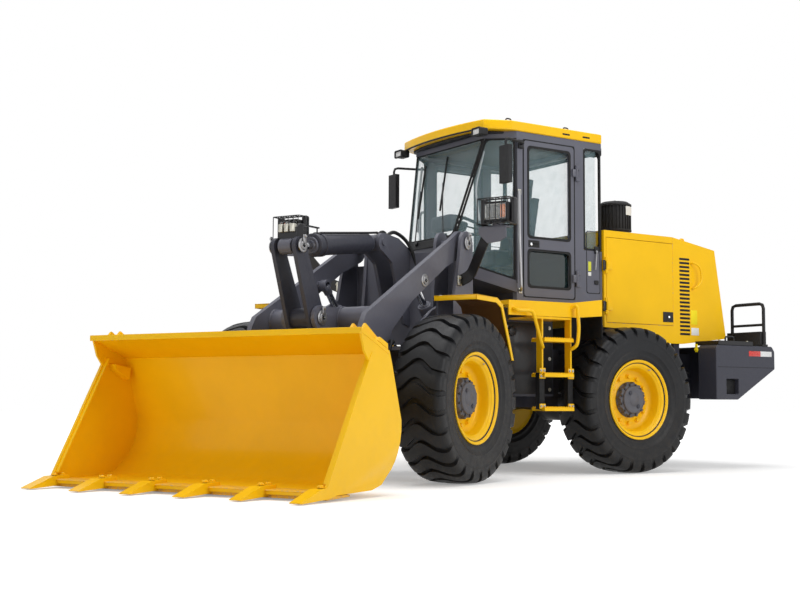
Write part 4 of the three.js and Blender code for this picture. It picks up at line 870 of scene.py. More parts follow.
piece("bucket_lip_step", [cut_plate(lip, -HALF + .03, HALF - .03)], worn_edge, "bucket", bevel=.002)
print("bucket:", len(fittings), "stiffeners,", len(lip_bar), "parts at the rim,", len(studs), "bolts")


# %% [markdown]
# Each headlamp is a round-cornered housing behind a wire guard.  Its mirror is split: white for the
# beam, amber for the indicator.  The guard is bent wire, so it is tubes along rounded paths.

# %% Headlamps
LAMP = np.array([.840, 1.070, 2.240])


def round_loop(x0, x1, z0, z1, radius, steps=6):
    """A rectangle whose four corners are quarter circles, as (a, b) points."""
    corners = [(x1 - radius, z1 - radius, 0), (x0 + radius, z1 - radius, 90),
               (x0 + radius, z0 + radius, 180), (x1 - radius, z0 + radius, 270)]
    return np.concatenate([arc((x, z), radius, start, start + 90, steps) for x, z, start in corners])


def frame_ring(outer, inner, low, high, plane="xz"):
    """A flat ring between two loops with the same number of points, made thick across the plane."""
    columns = COLUMNS[plane]
    grid = np.zeros((4, len(outer), 3))
    for row, (loop, at) in enumerate(((outer, low), (inner, low), (inner, high), (outer, high))):
        grid[row, :, columns[0]], grid[row, :, columns[1]] = loop[:, 0], loop[:, 1]
        grid[row, :, columns[2]] = at
    return sheet_of(grid, wrap_u=True, wrap_v=True)


def headlamp_parts(side):
    """Housing, mirror halves, lens and guard of one lamp, around its centre."""
    hand = "left" if side > 0 else "right"
    x, y, z = LAMP * [1, side, 1]
    front = x + .062
    house = [soft_box((x - .055, y - .118, z - .083), (x + .045, y + .118, z + .083), .03, 5),
             frame_ring(round_loop(y - .118, y + .118, z - .083, z + .083, .035),
                        round_loop(y - .100, y + .100, z - .066, z + .066, .030), x + .03, front, "yz")]
    piece(f"{hand}_headlamp_housing", house, black_plastic, "front_frame", replaces=(f"{hand}_headlamp",))
    # beam mirror: a square bowl, as deep as .045 * (1 - m^2), where m is the larger of |a| and |b|
    a, b = np.meshgrid(np.linspace(-1, 1, 15), np.linspace(-1, 1, 15), indexing="ij")
    inner_y = y - side * .032
    deep = .045 * (1 - np.maximum(np.abs(a), np.abs(b)) ** 2)
    bowl = np.stack([front - .012 - deep, inner_y + a * .066, z + b * .064], axis=-1)
    piece(f"{hand}_beam_mirror", [sheet_of(bowl)], lamp_mirror, "front_frame", 60)
    bulbs = [turned([(0, 0), (.026, .004), (.022, .020), (.012, .026), (0, .027)],
                    (front - .050, inner_y + dy, z + dz), (front, inner_y + dy, z + dz),
                    24) for dy in (-.033, .033) for dz in (-.032, .032)]
    piece(f"{hand}_beam_cells", bulbs, white_reflector, "front_frame")
    cells = [tube([(front - .010, inner_y + dy, z - .062), (front - .010, inner_y + dy, z + .062)], .0022, 6)
             for dy in (-.066, 0, .064)]
    cells.append(tube([(front - .010, inner_y - .064, z), (front - .010, inner_y + .064, z)], .0022, 6))
    piece(f"{hand}_beam_grid", cells, black_plastic, "front_frame")
    turn_y = y + side * .068
    amber = soft_box((front - .03, turn_y - .028, z - .060), (front - .004, turn_y + .030, z + .060),
                     .014, 4)
    piece(f"{hand}_indicator_lens", [amber], amber_lens, "front_frame")
    clear = soft_box((front - .006, y - .101, z - .067), (front + .002, y + .101, z + .067), .003, 3)
    piece(f"{hand}_headlamp_lens", [clear], lens_glass, "front_frame")
    wires = []
    for dy in np.linspace(-.142, .142, 6):
        wires.append(tube(rounded([(x - .01, y + dy, z + .112), (front + .045, y + dy, z + .108),
                                   (front + .045, y + dy, z - .108), (x - .01, y + dy, z - .112)], .02, 5),
                          .0042, 8))
    for dz in (-.108, .108):
        wires.append(tube(rounded([(x - .01, y - .155, z + dz), (front + .045, y - .150, z + dz),
                                   (front + .045, y + .150, z + dz), (x - .01, y + .155, z + dz)], .02, 5),
                          .0042, 8))
    wires.append(tube([(x - .01, y - .155, z + .112), (x - .01, y + .155, z + .112)], .0065, 8))
    wires.append(tube([(x - .01, y - .155, z - .112), (x - .01, y + .155, z - .112)], .0065, 8))
    wires += [soft_box((x - .05, y - .165, z - .118), (x + .02, y - .112, z + .118), .02, 4),
              soft_box((x - .05, y + .112, z - .118), (x + .02, y + .165, z + .118), .02, 4)]
    piece(f"{hand}_lamp_guard", wires, black_enamel, "front_frame")
    plate_of = [(side * .900, 2.120), (side * 1.160, 2.112), (side * 1.165, 2.020), (side * 1.100, 1.985),
                (side * .985, 1.975), (side * .900, 2.060)]
    shelf = [cut_plate(plate_of, x + .028, x + .040, "yz"),
             cut_plate([(x - .055, 2.120), (x + .038, 2.120), (x + .038, 2.108), (x - .055, 2.108)],
                       side * .900, side * 1.160),
             soft_box((x - .03, y - .04, 2.11), (x + .03, y + .04, z - .07), .006)]
    piece(f"{hand}_lamp_shelf", shelf, grey_enamel, "front_frame", bevel=.004)
    foot = side * .6205
    strap = rounded([(.700, foot + side * .015, 1.69), (.715, side * .74, 1.73), (.845, side * .95, 2.02),
                     (.845, side * 1.00, 2.09)], .06, 6)
    piece(f"{hand}_lamp_strap", [swept(strap, [(-.050, -.006), (.050, -.006), (.050, .006), (-.050, .006)],
                                       helper=(1, 0, 0)),
                                 tube(strap - [.02, 0, .01], .018, 12)], black_enamel, "front_frame",
                                 bevel=.002)
    piece(f"{hand}_lamp_strap_foot", [soft_box((.660, foot, 1.65), (.742, foot + side * .020, 1.735), .006)]
          + bolts([(.68, foot + side * .02, 1.67), (.722, foot + side * .02, 1.715)], (0, side, 0), .024,
                  .012),
          zinc_bolts, "front_frame")


for side in (1, -1):
    headlamp_parts(side)

# fender: folded sheet with a lip along its front and outer edges, a brown sheet under it that is painted
# shade, and a dark bracket
FENDER = np.array([(1.323, 1.510), (.959, 1.507), (.854, 1.457), (.650, .995)])


def fender_band(depth):
    """The fender's line and the same line moved in towards the tyre, as one outline."""
    inner = FENDER[::-1] + np.array([(.9, 0), (.7, -.7), (.3, -1), (0, -1)]) * depth
    return np.concatenate([FENDER, inner])


for hand, side in (("left", 1), ("right", -1)):
    shell = [cut_plate(fender_band(.010), side * .725, side * 1.120),
             cut_plate(fender_band(.042), side * 1.110, side * 1.120),
             soft_box((1.313, side * .725, 1.468), (1.323, side * 1.120, 1.510), .002)]
    piece(f"{hand}_fender_shell", shell, yellow_enamel, "front_frame", bevel=.003,
          replaces=(f"{hand}_front_fender",))
    # a brown sheet just under the fender: painted shade where the fender shades its own underside
    line = FENDER + np.array([(-.012, -.0115), (0, -.0115), (.009, -.009), (.010, 0)])
    inner = (FENDER + np.array([(-.012, -.014), (0, -.014), (.012, -.011), (.013, 0)]))[::-1]
    piece(f"{hand}_fender_painted_shade", [cut_plate(np.concatenate([line, inner]), side * .728, side * 1.108)],
          under_seal, "front_frame", bevel=0)
    bracket = [cut_plate([(1.040, 1.240), (1.040, 1.498), (1.300, 1.499), (1.300, 1.240)], side * .730,
                         side * .750),
               soft_box((1.040, side * .6205, 1.240), (1.300, side * .750, 1.270), .003)]
    piece(f"{hand}_fender_bracket", bracket, deep_grey, "front_frame", bevel=.002)

# fender: two bolts through its top, a rubber flap along its rear foot
for hand, side in (("left", 1), ("right", -1)):
    piece(f"{hand}_fender_bolts", bolts([(1.06, side * .740, 1.5075), (1.24, side * .740, 1.5095)],
                                        (0, 0, 1), .024, .012), zinc_bolts, "front_frame")
    flap = cut_plate([(.640, .990), (.660, .990), (.645, .930), (.627, .930)], side * .735, side * 1.105)
    piece(f"{hand}_fender_flap", [flap], gasket_rubber, "front_frame", bevel=.002)
# three short hoses along the outside of each arm, below the cross tube
runs = []
for side in (1, -1):
    for k in range(3):
        runs.append(tube(smooth_path([(1.68 + .03 * k, side * .556, 1.12),
                                      (1.74 + .03 * k, side * (.590 + .012 * k), 1.11),
                                      (1.90, side * (.592 + .012 * k), 1.02 - .04 * k),
                                      (2.02, side * (.588 + .010 * k), .90 - .03 * k),
                                      (2.05, side * .556, .84 - .03 * k)], 8), .013, 10))
piece("boom_foot_hoses", runs, hose_rubber, "boom")
print("front end dressed")


# %% [markdown]
# The cab is a welded tube cage filled with glass.  Real panes are bonded to the cage and their edge
# is painted black, so a pane shows as a dark rounded frame with clear glass inside.  Each frame is
# worked out from the pane itself: the outline of its points, and the same outline moved inwards.

# %% Frames that follow a pane's own outline
def pane_outline(node):
    """Corners of a flat convex pane in order, with two axes in its plane and the axis across it."""
    mesh = frame["nodes"][node].data
    points = np.empty(len(mesh.vertices) * 3)
    mesh.vertices.foreach_get("co", points)
    points = points.reshape(-1, 3) - PIVOT
    centre = points.mean(axis=0)
    axes = np.linalg.svd(points - centre, full_matrices=False)[2]
    if axes[2] @ (centre - [-.6, 0, centre[2]]) < 0:
        axes[2] = -axes[2]
    axes[1] = np.cross(axes[2], axes[0])
    flat = (points - centre) @ axes[:2].T
    turn = np.linspace(0, 2 * np.pi, 1440, endpoint=False)
    far = np.argmax(flat @ np.stack([np.cos(turn), np.sin(turn)]), axis=0)
    keep = far[np.r_[True, np.diff(far) != 0]]
    corners = flat[keep]
    gap = np.linalg.norm(corners - np.roll(corners, 1, axis=0), axis=1)
    corners = corners[gap > .004]
    depth = (points - centre) @ axes[2]
    return centre, axes, corners, depth.min(), depth.max()


def inset(corners, width):
    """A convex outline moved inwards: each corner goes to where its two shifted edges cross."""
    ahead = np.roll(corners, -1, axis=0) - corners
    normal = np.stack([-ahead[:, 1], ahead[:, 0]], axis=1) / np.linalg.norm(ahead, axis=1, keepdims=True)
    level = (normal * corners).sum(axis=1) + width
    n0, n1, l0, l1 = np.roll(normal, 1, axis=0), normal, np.roll(level, 1), level
    cross = n0[:, 0] * n1[:, 1] - n0[:, 1] * n1[:, 0]
    x = (l0 * n1[:, 1] - l1 * n0[:, 1]) / cross
    y = (n0[:, 0] * l1 - n1[:, 0] * l0) / cross
    return np.stack([x, y], axis=1)


def softened(corners, bend, steps=6):
    """A closed outline with each corner replaced by a parabola that leaves its edges one bend away."""
    before, after = np.roll(corners, 1, axis=0), np.roll(corners, -1, axis=0)
    to_a, to_b = before - corners, after - corners
    reach_a = np.minimum(bend / np.linalg.norm(to_a, axis=1), .45)[:, None]
    reach_b = np.minimum(bend / np.linalg.norm(to_b, axis=1), .45)[:, None]
    a, b, t = corners + to_a * reach_a, corners + to_b * reach_b, np.linspace(0, 1, steps)[:, None, None]
    return ((1 - t) ** 2 * a + 2 * t * (1 - t) * corners + t ** 2 * b).transpose(1, 0, 2).reshape(-1, 2)


def pane_frame(name, node, body, width=.035, bend=.05, proud=.004, material=None):
    """The black band round a pane: a ring from just outside its edge to a rounded opening."""
    centre, axes, corners, low, high = pane_outline(node)
    outer = softened(inset(corners, -.003), .012)
    inner = softened(inset(corners, width), bend)
    grid = [centre + loop @ axes[:2] + level * axes[2]
            for loop, level in ((outer, low - proud), (inner, low - proud), (inner, high + proud),
                                (outer, high + proud))]
    return piece(name, [sheet_of(np.stack(grid), wrap_u=True, wrap_v=True)], material or gasket_rubber, body,
                 30)


for node in ("cab_shell", "left_cab_door", "right_cab_door"):
    skin(node, grey_enamel, "rear_frame" if node == "cab_shell" else node, .005)
for node in ("windscreen", "rear_window", "left_quarter_window", "right_quarter_window"):
    skin(node, cab_glass, "rear_frame", 0)
pane_frame("windscreen_frame", "windscreen", "rear_frame", .012, .05)
for hand in ("left", "right"):
    skin(f"{hand}_door_window", cab_glass, f"{hand}_cab_door", 0)
    pane_frame(f"{hand}_quarter_frame", f"{hand}_quarter_window", "rear_frame", .016, .04)
print("glass and its frames")

# %% [markdown]
# The doors carry most of the cab's small parts: seals, a handle and its lock.  Ahead of each door is
# a tall grab rail, one tube along a rounded path that ends on two small bolted feet.

# %% Door seals, handles, rails
DOOR = (-1.056, -.442, 1.605, 3.050)
OPENINGS = ((-1.004, -.494, 2.150, 2.995), (-1.004, -.494, 1.695, 2.040))


def ring_on_side(x0, x1, z0, z1, inside, outside, y0, y1, bend):
    """A rectangular seal lying on the cab's side."""
    return frame_ring(round_loop(x0 - outside, x1 + outside, z0 - outside, z1 + outside, bend),
                      round_loop(x0 + inside, x1 - inside, z0 + inside, z1 - inside, bend), y0, y1, "xz")


seals = [ring_on_side(*box, .014, .008, .7375, .7440, .040) for box in OPENINGS]
wrap = [ring_on_side(-1.388, -1.176, 2.084, 3.052, .016, .003, .7350, .7400, .03)]
behind = [frame_ring(round_loop(-.737, .737, 2.082, 3.054, .03), round_loop(-.700, .700, 2.118, 3.018, .05),
                     -1.3955, -1.3900, "yz")]
piece("rear_window_seals", both(wrap) + behind, gasket_rubber, "rear_frame")
gap = [ring_on_side(*DOOR, .004, .007, .7385, .7425, .030)]
tint = [cut_plate([(-1.0, 1.70), (-.498, 1.70), (-.498, 2.036), (-1.0, 2.036)], .708, .712)]
handle = [soft_box((-.625, .7405, 2.062), (-.497, .747, 2.126), .006, 4),
          tube(rounded([(-.610, .745, 2.100), (-.606, .762, 2.100), (-.540, .762, 2.098),
                        (-.536, .745, 2.098)], .012), .007, 10)]
lock = [turned([(0, 0), (.014, 0), (.014, .012), (.009, .016), (0, .016)], (-.522, .745, 2.088),
               (-.522, .9, 2.088), 24)]
for hand, flip in (("left", lambda parts: parts), ("right", mirrored)):
    body = f"{hand}_cab_door"
    piece(f"{hand}_door_seals", flip(seals), gasket_rubber, body)
    piece(f"{hand}_door_edge_seal", flip(gap), gasket_rubber, body)
    piece(f"{hand}_door_lower_tint", flip(tint), tinted_glass, body)
    piece(f"{hand}_door_handle", flip(handle), black_plastic, body)
    piece(f"{hand}_door_lock", flip(lock), chrome_plate, body)
rail = [tube(rounded([(-.390, .744, 2.560), (-.350, .792, 2.552), (-.352, .796, 2.10), (-.372, .792, 1.665),
                      (-.400, .744, 1.655)], .045, 7), .0135, 14)]
feet = [soft_box((-.412, .740, 2.535), (-.372, .7475, 2.585), .004),
        soft_box((-.420, .740, 1.630), (-.382, .7475, 1.68), .004)]
piece("cab_grab_rails", both(rail), bare_steel, "rear_frame")
feet += bolts([(-.392, .747, 2.575), (-.392, .747, 2.545), (-.401, .747, 1.670), (-.401, .747, 1.640)],
              (0, 1, 0), .012, .006)
piece("cab_grab_feet", both(feet), zinc_bolts, "rear_frame")
strip = [cut_plate([(-.4415, 1.70), (-.4325, 1.70), (-.4325, 3.04), (-.4415, 3.04)], .7405, .7425),
         cut_plate([(-.3675, 1.72), (-.3595, 1.72), (-.3595, 3.04), (-.3675, 3.04)], .7405, .7425)]
piece("post_seams", both(strip), gasket_rubber, "rear_frame")
print("door trim, with", len(seals), "seals a side")

# %% The panel behind the door: seams, latch, gas strut, blank plates
panel = [ring_on_side(-1.372, -1.205, 1.675, 2.265, .004, .003, .7405, .7425, .02)]
latch = [soft_box((-1.350, .7405, 2.055), (-1.300, .753, 2.125), .008, 4),
         soft_box((-1.350, .7405, 1.760), (-1.300, .753, 1.800), .008, 4)]
piece("cab_panel_seams", both(panel), gasket_rubber, "rear_frame")
piece("cab_panel_latches", both(latch), black_plastic, "rear_frame")
piece("cab_panel_strut", both([tube([(-1.318, .762, 2.075), (-1.300, .762, 1.90)], .006, 10),
                               turned([(0, 0), (.010, 0), (.010, .02), (0, .02)], (-1.318, .742, 2.075),
                                      (-1.318, .9, 2.075), 16)]), bare_steel, "rear_frame")
piece("cab_panel_plate", both([soft_box((-1.262, .7405, 1.885), (-1.225, .7425, 1.975), .001)]), lime_label,
      "rear_frame")
piece("cab_panel_plate_low", both([soft_box((-1.262, .7405, 1.84), (-1.225, .7425, 1.875), .001)]),
      white_label, "rear_frame")
print("doors and side panels")

# %% [markdown]
# The roof is a shallow shell that overhangs the screen.  Under its front edge a black visor carries
# a lamp at each corner; the wipers are pivoted below the screen.

# %% Roof, lamps, wipers
skin("cab_roof", yellow_enamel, "rear_frame", .014)
visor_line = np.array([(-1.36, -.700), (-1.36, .700), (-.36, .700), (-.115, .600), (-.050, .300), (-.042, 0),
                       (-.050, -.300), (-.115, -.600), (-.36, -.700)])
piece("roof_lining", [cut_plate(softened(visor_line, .08), 3.098, 3.119, "xy")], black_plastic, "rear_frame",
      bevel=.004)
brow = [(.016, 0), (.006, .25), (-.022, .47), (-.060, .640)]
brow = smooth_path([(x, -y, 3.126) for x, y in brow[:0:-1]] + [(x, y, 3.126) for x, y in brow], 6)
piece("roof_drip_rail", [swept(brow, [(-.010, -.006), (.010, -.006), (.010, .006), (-.010, .006)])],
      black_plastic, "rear_frame", bevel=.002)
for hand, side in (("left", 1), ("right", -1)):
    shell = [soft_box((-.075, side * .575, 3.052), (.018, side * .695, 3.122), .014, 4),
             frame_ring(round_loop(side * .635 - .064, side * .635 + .064, 3.046, 3.124, .018),
                        round_loop(side * .635 - .050, side * .635 + .050, 3.058, 3.112, .014), .012, .030,
                        "yz")]
    piece(f"{hand}_roof_lamp", shell, black_plastic, "rear_frame", bevel=.002)
    reflector = soft_box((.012, side * .585, 3.060), (.022, side * .685, 3.110), .012, 4)
    piece(f"{hand}_roof_lamp_mirror", [reflector], white_reflector, "rear_frame")
    back = [soft_box((-1.440, side * .600, 3.010), (-1.375, side * .712, 3.098), .016, 4),
            soft_box((-1.400, side * .640, 3.090), (-1.385, side * .672, 3.120), .004)]
    piece(f"{hand}_rear_work_lamp", back, black_plastic, "rear_frame")
    reflector = soft_box((-1.446, side * .612, 3.022), (-1.436, side * .700, 3.086), .006, 4)
    piece(f"{hand}_rear_lamp_mirror", [reflector], white_reflector, "rear_frame")
loops = [tube(rounded([(x - .03, y, 3.205), (x - .03, y, 3.245), (x + .03, y, 3.245), (x + .03, y, 3.205)],
                      .02), .007, 10)
         for x, y in ((-.331, .66), (-1.024, .66))]
piece("roof_lifting_loops", both(loops), black_enamel, "rear_frame")
vents = [soft_box((x - .045, .7500, 3.150), (x + .045, .7535, 3.166), .0015) for x in (-.95, -1.20)]
piece("roof_vents", both(vents), louvre_shadow, "rear_frame")
beacon = [turned([(0, 0), (.045, 0), (.045, .012), (.030, .018), (.030, .030), (0, .030)],
                 (-1.25, -.45, 3.211), (-1.25, -.45, 4), 32)]
piece("beacon_seat", beacon, black_plastic, "rear_frame")
FOOT, HEAD = np.array([.080, 0, 2.160]), np.array([-.137, 0, 3.056])
OUT = np.array([.896, 0, .217]) / math.hypot(.896, .217)


def on_screen(across, height, lift=.012):
    """A point just in front of the windscreen: height runs from 0 at its foot to 1 at its head."""
    return FOOT + (HEAD - FOOT) * height + [0, across, 0] + OUT * lift


arms, blades = [], []
for y0, y1, h1 in ((-.20, -.30, .56), (.26, .05, .60)):
    arms.append(tube([on_screen(y0, -.03, .03), on_screen((y0 + y1) / 2, h1 / 2, .036),
                      on_screen(y1, h1, .022)], .006, 10))
    arms.append(turned([(0, 0), (.022, 0), (.022, .02), (.012, .03), (0, .03)], on_screen(y0, -.03, .006),
                       on_screen(y0, -.03, 1), 20))
    low, high = on_screen(y1 + .03, h1 - .30, .010), on_screen(y1 - .03, h1 + .30, .010)
    blades.append(swept(np.linspace(low, high, 6),
                        [(-.009, -.006), (.009, -.006), (.004, .008), (-.004, .008)], helper=OUT))
piece("wiper_arms", arms, black_enamel, "rear_frame")
piece("wiper_blades", blades, gasket_rubber, "rear_frame")
cowl = [cut_plate([(.070, 2.085), (.106, 2.085), (.092, 2.150), (.076, 2.158)], -.345, .345)]
piece("screen_cowl", cowl, black_plastic, "rear_frame", bevel=.004)
for hand, side in (("left", 1), ("right", -1)):
    skin(f"{hand}_mirror", black_plastic, "rear_frame", .018, 50)
    glass_at = soft_box((-.1315, side * .850, 2.602), (-.1275, side * .960, 2.918), .0018)
    piece(f"{hand}_mirror_glass", [glass_at], mirror_face, "rear_frame")
    grip = soft_box((-.424, side * .7545, 2.968), (-.376, side * .766, 3.032), .004)
    piece(f"{hand}_mirror_foot", [grip] + bolts([(-.412, side * .766, 3.02), (-.388, side * .766, 2.98)],
                                                (0, side, 0), .014, .006), black_enamel, "rear_frame")
print("roof, lamps, wipers, mirrors")

# %% [markdown]
# Inside: a moulded dash on the steering column, a side console with two levers, pedals, rails, a mat
# and the seat.  They are seen only through glass, so simple soft boxes are enough, but each is its
# own dark plastic part, which is what gives the glass something to show.

# %% Interior
skin("steering_column", black_plastic, "rear_frame", .003, 50)
skin("seat_base", black_plastic, "rear_frame", .010)
inside = [soft_box((-.130, -.16, 2.250), (-.030, .16, 2.400), .03, 5),
          soft_box((-.86, -.520, 1.98), (-.36, -.340, 2.14), .04, 5),
          soft_box((-.84, -.500, 1.50), (-.48, -.360, 1.99), .03, 4),
          soft_box((-.90, .300, 2.00), (-.60, .350, 2.20), .02, 4),
          soft_box((-1.360, -.66, 1.60), (-1.175, .66, 2.050), .04, 4)]
piece("cab_consoles", inside, deep_grey, "rear_frame")
levers = [tube([(x, -.43, 2.12), (x + .02, -.43, 2.27)], .007, 10) for x in (-.50, -.42)]
levers += [turned([(0, 0), (.018, .004), (.024, .030), (.018, .055), (0, .060)], (x + .018, -.43, 2.25),
                  (x + .025, -.43, 3), 20) for x in (-.50, -.42)]
levers += [tube(rounded([(-.16, .02, 2.30), (-.17, .14, 2.34), (-.18, .20, 2.38)], .03), .006, 8)]
levers += [soft_box((-.28, y - .04, 1.545), (-.16, y + .04, 1.565), .008) for y in (-.16, -.05, .16)]
piece("cab_levers_and_pedals", levers, black_plastic, "rear_frame")
rails = [tube(rounded([(-.12, side * .50, 2.30), (-.10, side * .46, 2.60), (-.17, side * .50, 2.95)], .10),
              .011, 12)
         for side in (1, -1)]
piece("cab_inner_rails", rails, bare_steel, "rear_frame")
floor_line = np.array([(-1.15, -.62), (-1.15, .62), (-.42, .62), (-.02, .30), (-.02, -.30), (-.42, -.62)])
mat = [cut_plate(softened(floor_line, .05), 1.531, 1.541, "xy")]
piece("cab_floor_mat", mat, gasket_rubber, "rear_frame")
print("interior:", len(inside), "consoles and", len(levers), "levers, knobs and pedals")


# %% [markdown]
# The seat is foam under cloth.  Each pad starts as its own plain block, is meshed evenly, blown up
# a little as cloth under pressure so its middle crowns and its edges draw in, and kept within a
# centimetre or two of where it started so it stays clear of its neighbours.

# %% Seat pads
def seat_pad(node, shrink=.985, reach=.016, voxel=.012):
    """A stuffed pad: an even mesh of the block, swelled by cloth pressure and held near its block."""
    mesh = frame["nodes"][node].data.copy()
    pad = bpy.data.objects.new(f"{node}_pad", mesh)
    bpy.context.scene.collection.objects.link(pad)
    points = np.empty(len(mesh.vertices) * 3)
    mesh.vertices.foreach_get("co", points)
    points = points.reshape(-1, 3)
    middle = (points.min(axis=0) + points.max(axis=0)) / 2
    mesh.vertices.foreach_set("co", (middle + (points - middle) * shrink).ravel())
    remesh = pad.modifiers.new("even", "REMESH")
    remesh.mode, remesh.voxel_size = "VOXEL", voxel
    bake(pad)
    points = np.empty(len(pad.data.vertices) * 3)
    pad.data.vertices.foreach_get("co", points)
    start = points.reshape(-1, 3).copy()
    cloth = pad.modifiers.new("swell", "CLOTH")
    cloth.settings.use_pressure = True
    cloth.settings.uniform_pressure_force = 4.0
    cloth.settings.effector_weights.gravity = 0
    cloth.point_cache.frame_start, cloth.point_cache.frame_end = 1, 20
    scene = bpy.context.scene
    for step in range(1, 21):
        scene.frame_set(step)
    bake(pad)
    scene.frame_set(1)
    pad.data.vertices.foreach_get("co", points)
    move = points.reshape(-1, 3) - start
    length = np.linalg.norm(move, axis=1, keepdims=True)
    capped = start + move * np.minimum(1, reach / np.maximum(length, 1e-9))
    pad.data.vertices.foreach_set("co", capped.ravel())
    smooth = pad.modifiers.new("finer", "SUBSURF")
    smooth.levels = smooth.render_levels = 1
    finish(pad, seat_cloth, "rear_frame", 60, 0, (node,))
    return pad


def bake(thing):
    """Puts what the modifiers give into the mesh and takes them off."""
    depsgraph = bpy.context.evaluated_depsgraph_get()
    shaped = bpy.data.meshes.new_from_object(thing.evaluated_get(depsgraph))
    thing.modifiers.clear()
    thing.data = shaped


for node in ("seat_cushion", "seat_back"):
    pad = seat_pad(node)
    print(node, len(pad.data.polygons), "faces")
piping = [tube(rounded([(-.95, side * .165, 2.088), (-.72, side * .165, 2.092), (-.50, side * .165, 2.086)],
                       .05), .004, 8)
          for side in (1, -1)]
piece("seat_piping", piping, seat_side, "rear_frame")
print("cab dressed")


# %% [markdown]
# Behind the cab the hood is folded sheet over the engine.  Louvres could be cut through it, but they
# are blind from outside: a dark slot laid on the sheet reads the same from every angle, and the sheet
# behind stays whole.

# %% Hood, its doors and everything on them
skin("hood", yellow_enamel, "rear_frame", .012)
for hand in ("left", "right"):
    skin(f"{hand}_hood_door", yellow_enamel, f"{hand}_hood_door", .005)
skin("rear_grille_door", yellow_enamel, "rear_grille_door", .005)
skin("engine_block", engine_iron, "rear_frame", .010)

SIDE = .7602
slots = [soft_box((-2.560, SIDE, z - .011), (-2.420, SIDE + .0012, z + .011), .001, 3)
         for z in np.linspace(1.330, 2.080, 20)]
piece("hood_louvre_slots", both(slots), louvre_shadow, "rear_frame")
seam = [cut_plate([(-2.3285, 1.405), (-2.3250, 1.405), (-2.3250, 2.285), (-2.3285, 2.285)], SIDE - .001,
                  SIDE + .0010),
        cut_plate([(-2.3285, 1.4025), (-1.4150, 1.4025), (-1.4150, 1.4060), (-2.3285, 1.4060)], SIDE - .001,
                  SIDE + .0010)]
piece("hood_door_seams", both(seam), worn_edge, "rear_frame")
grip = [tube(rounded([(-2.580, SIDE, 2.040), (-2.590, SIDE + .045, 2.045), (-2.665, SIDE + .055, 2.00),
                      (-2.680, SIDE + .055, 1.860), (-2.600, SIDE + .045, 1.790), (-2.590, SIDE, 1.790)],
                      .05, 7), .009, 14)]
piece("hood_grab_handles", both(grip), yellow_enamel, "rear_frame")
loop = [tube(rounded([(-2.545, .70, 2.225), (-2.545, .70, 2.290), (-2.495, .70, 2.290),
                      (-2.495, .70, 2.235)], .02), .009, 12)]
piece("hood_lifting_loops", both(loop), yellow_enamel, "rear_frame")
latch = [soft_box((-2.322, .7605, 1.440), (-2.185, .7655, 1.540), .004, 4)]
knob = [turned([(0, 0), (.013, 0), (.013, .006), (.009, .009), (0, .010)], (-2.262, .7655, 1.490),
               (-2.262, 1, 1.490), 28)]
for hand, flip in (("left", lambda parts: parts), ("right", mirrored)):
    piece(f"{hand}_hood_latches", flip(latch), black_plastic, f"{hand}_hood_door")
    piece(f"{hand}_hood_latch_knobs", flip(knob), chrome_plate, f"{hand}_hood_door")
piece("hood_side_plate", both([soft_box((-2.664, SIDE, 1.430), (-2.574, SIDE + .0014, 1.574), .001)]),
      yellow_label, "rear_frame")
piece("hood_side_plate_low", both([soft_box((-2.684, SIDE, 1.322), (-2.578, SIDE + .0014, 1.396), .001)]),
      white_label, "rear_frame")
leaves = [soft_box((-1.432, .7605, z - .05), (-1.392, .772, z + .05), .004) for z in (1.560, 1.950)]
piece("hood_hinge_leaves", both(leaves), black_enamel, "rear_frame")
seams = [soft_box((x - .003, -.740, 2.2895), (x + .003, .740, 2.2915), .0008) for x in (-1.66, -2.20)]
seams += [soft_box((-2.20, side * .52 - .003, 2.2895), (-1.66, side * .52 + .003, 2.2915), .0008)
          for side in (1, -1)]
piece("hood_top_seams", seams, gasket_rubber, "rear_frame")
along_edges = [(x, side * .70, 2.290) for x in (-1.50, -1.75, -2.0, -2.28) for side in (1, -1)]
piece("hood_top_bolts", bolts(along_edges, (0, 0, 1), .024, .010), zinc_bolts, "rear_frame")
print("hood, with", len(slots), "louvre slots a side")

# %% Air precleaner: a ribbed drum under a cap, and the exhaust stack behind it
skin("air_precleaner", black_plastic, "rear_frame", .006, 50)
base = np.array([-1.940, .350, 2.290])
ribs = [soft_box((-.004, -.163, .075), (.004, -.150, .325), .003, 3)]
turns = np.linspace(0, 2 * np.pi, 30, endpoint=False)
spokes = []
for angle in turns:
    c, s = math.cos(angle), math.sin(angle)
    spokes.append((ribs[0][0] @ np.array([[c, s, 0], [-s, c, 0], [0, 0, 1]]) + base, ribs[0][1]))
spokes.append(turned([(.150, .062), (.166, .066), (.166, .080), (.150, .084)], base, base + [0, 0, 1], 60))
spokes.append(turned([(.150, .316), (.167, .320), (.167, .336), (.130, .362), (.128, .356)], base,
                     base + [0, 0, 1], 60))
spokes.append(turned([(0, .364), (.020, .364), (.020, .376), (.012, .384), (0, .384)], base,
                     base + [0, 0, 1], 24))
piece("precleaner_ribs", spokes, black_plastic, "rear_frame", 45)
band = np.linspace(math.radians(88), math.radians(128), 12)
strip = np.stack([np.stack([.1665 * np.cos(band), .1665 * np.sin(band), np.full(12, z)], axis=1)
                  for z in (.22, .31)])
piece("precleaner_plate", [sheet_of(strip + base)], white_label, "rear_frame")
stack = turned([(0, 0), (.050, 0), (.050, .010), (.042, .012), (.042, .140), (.046, .144), (.046, .150),
                (.036, .150), (.036, .02), (0, .02)], (-2.18, -.30, 2.2895), (-2.18, -.30, 3), 36)
piece("exhaust_stack", [stack], black_enamel, "rear_frame")
print("hood dressed")

# %% [markdown]
# The tail: a grille door on the slope, the counterweight casting with its tow pocket, two battery
# lids, and a lamp block on each side.

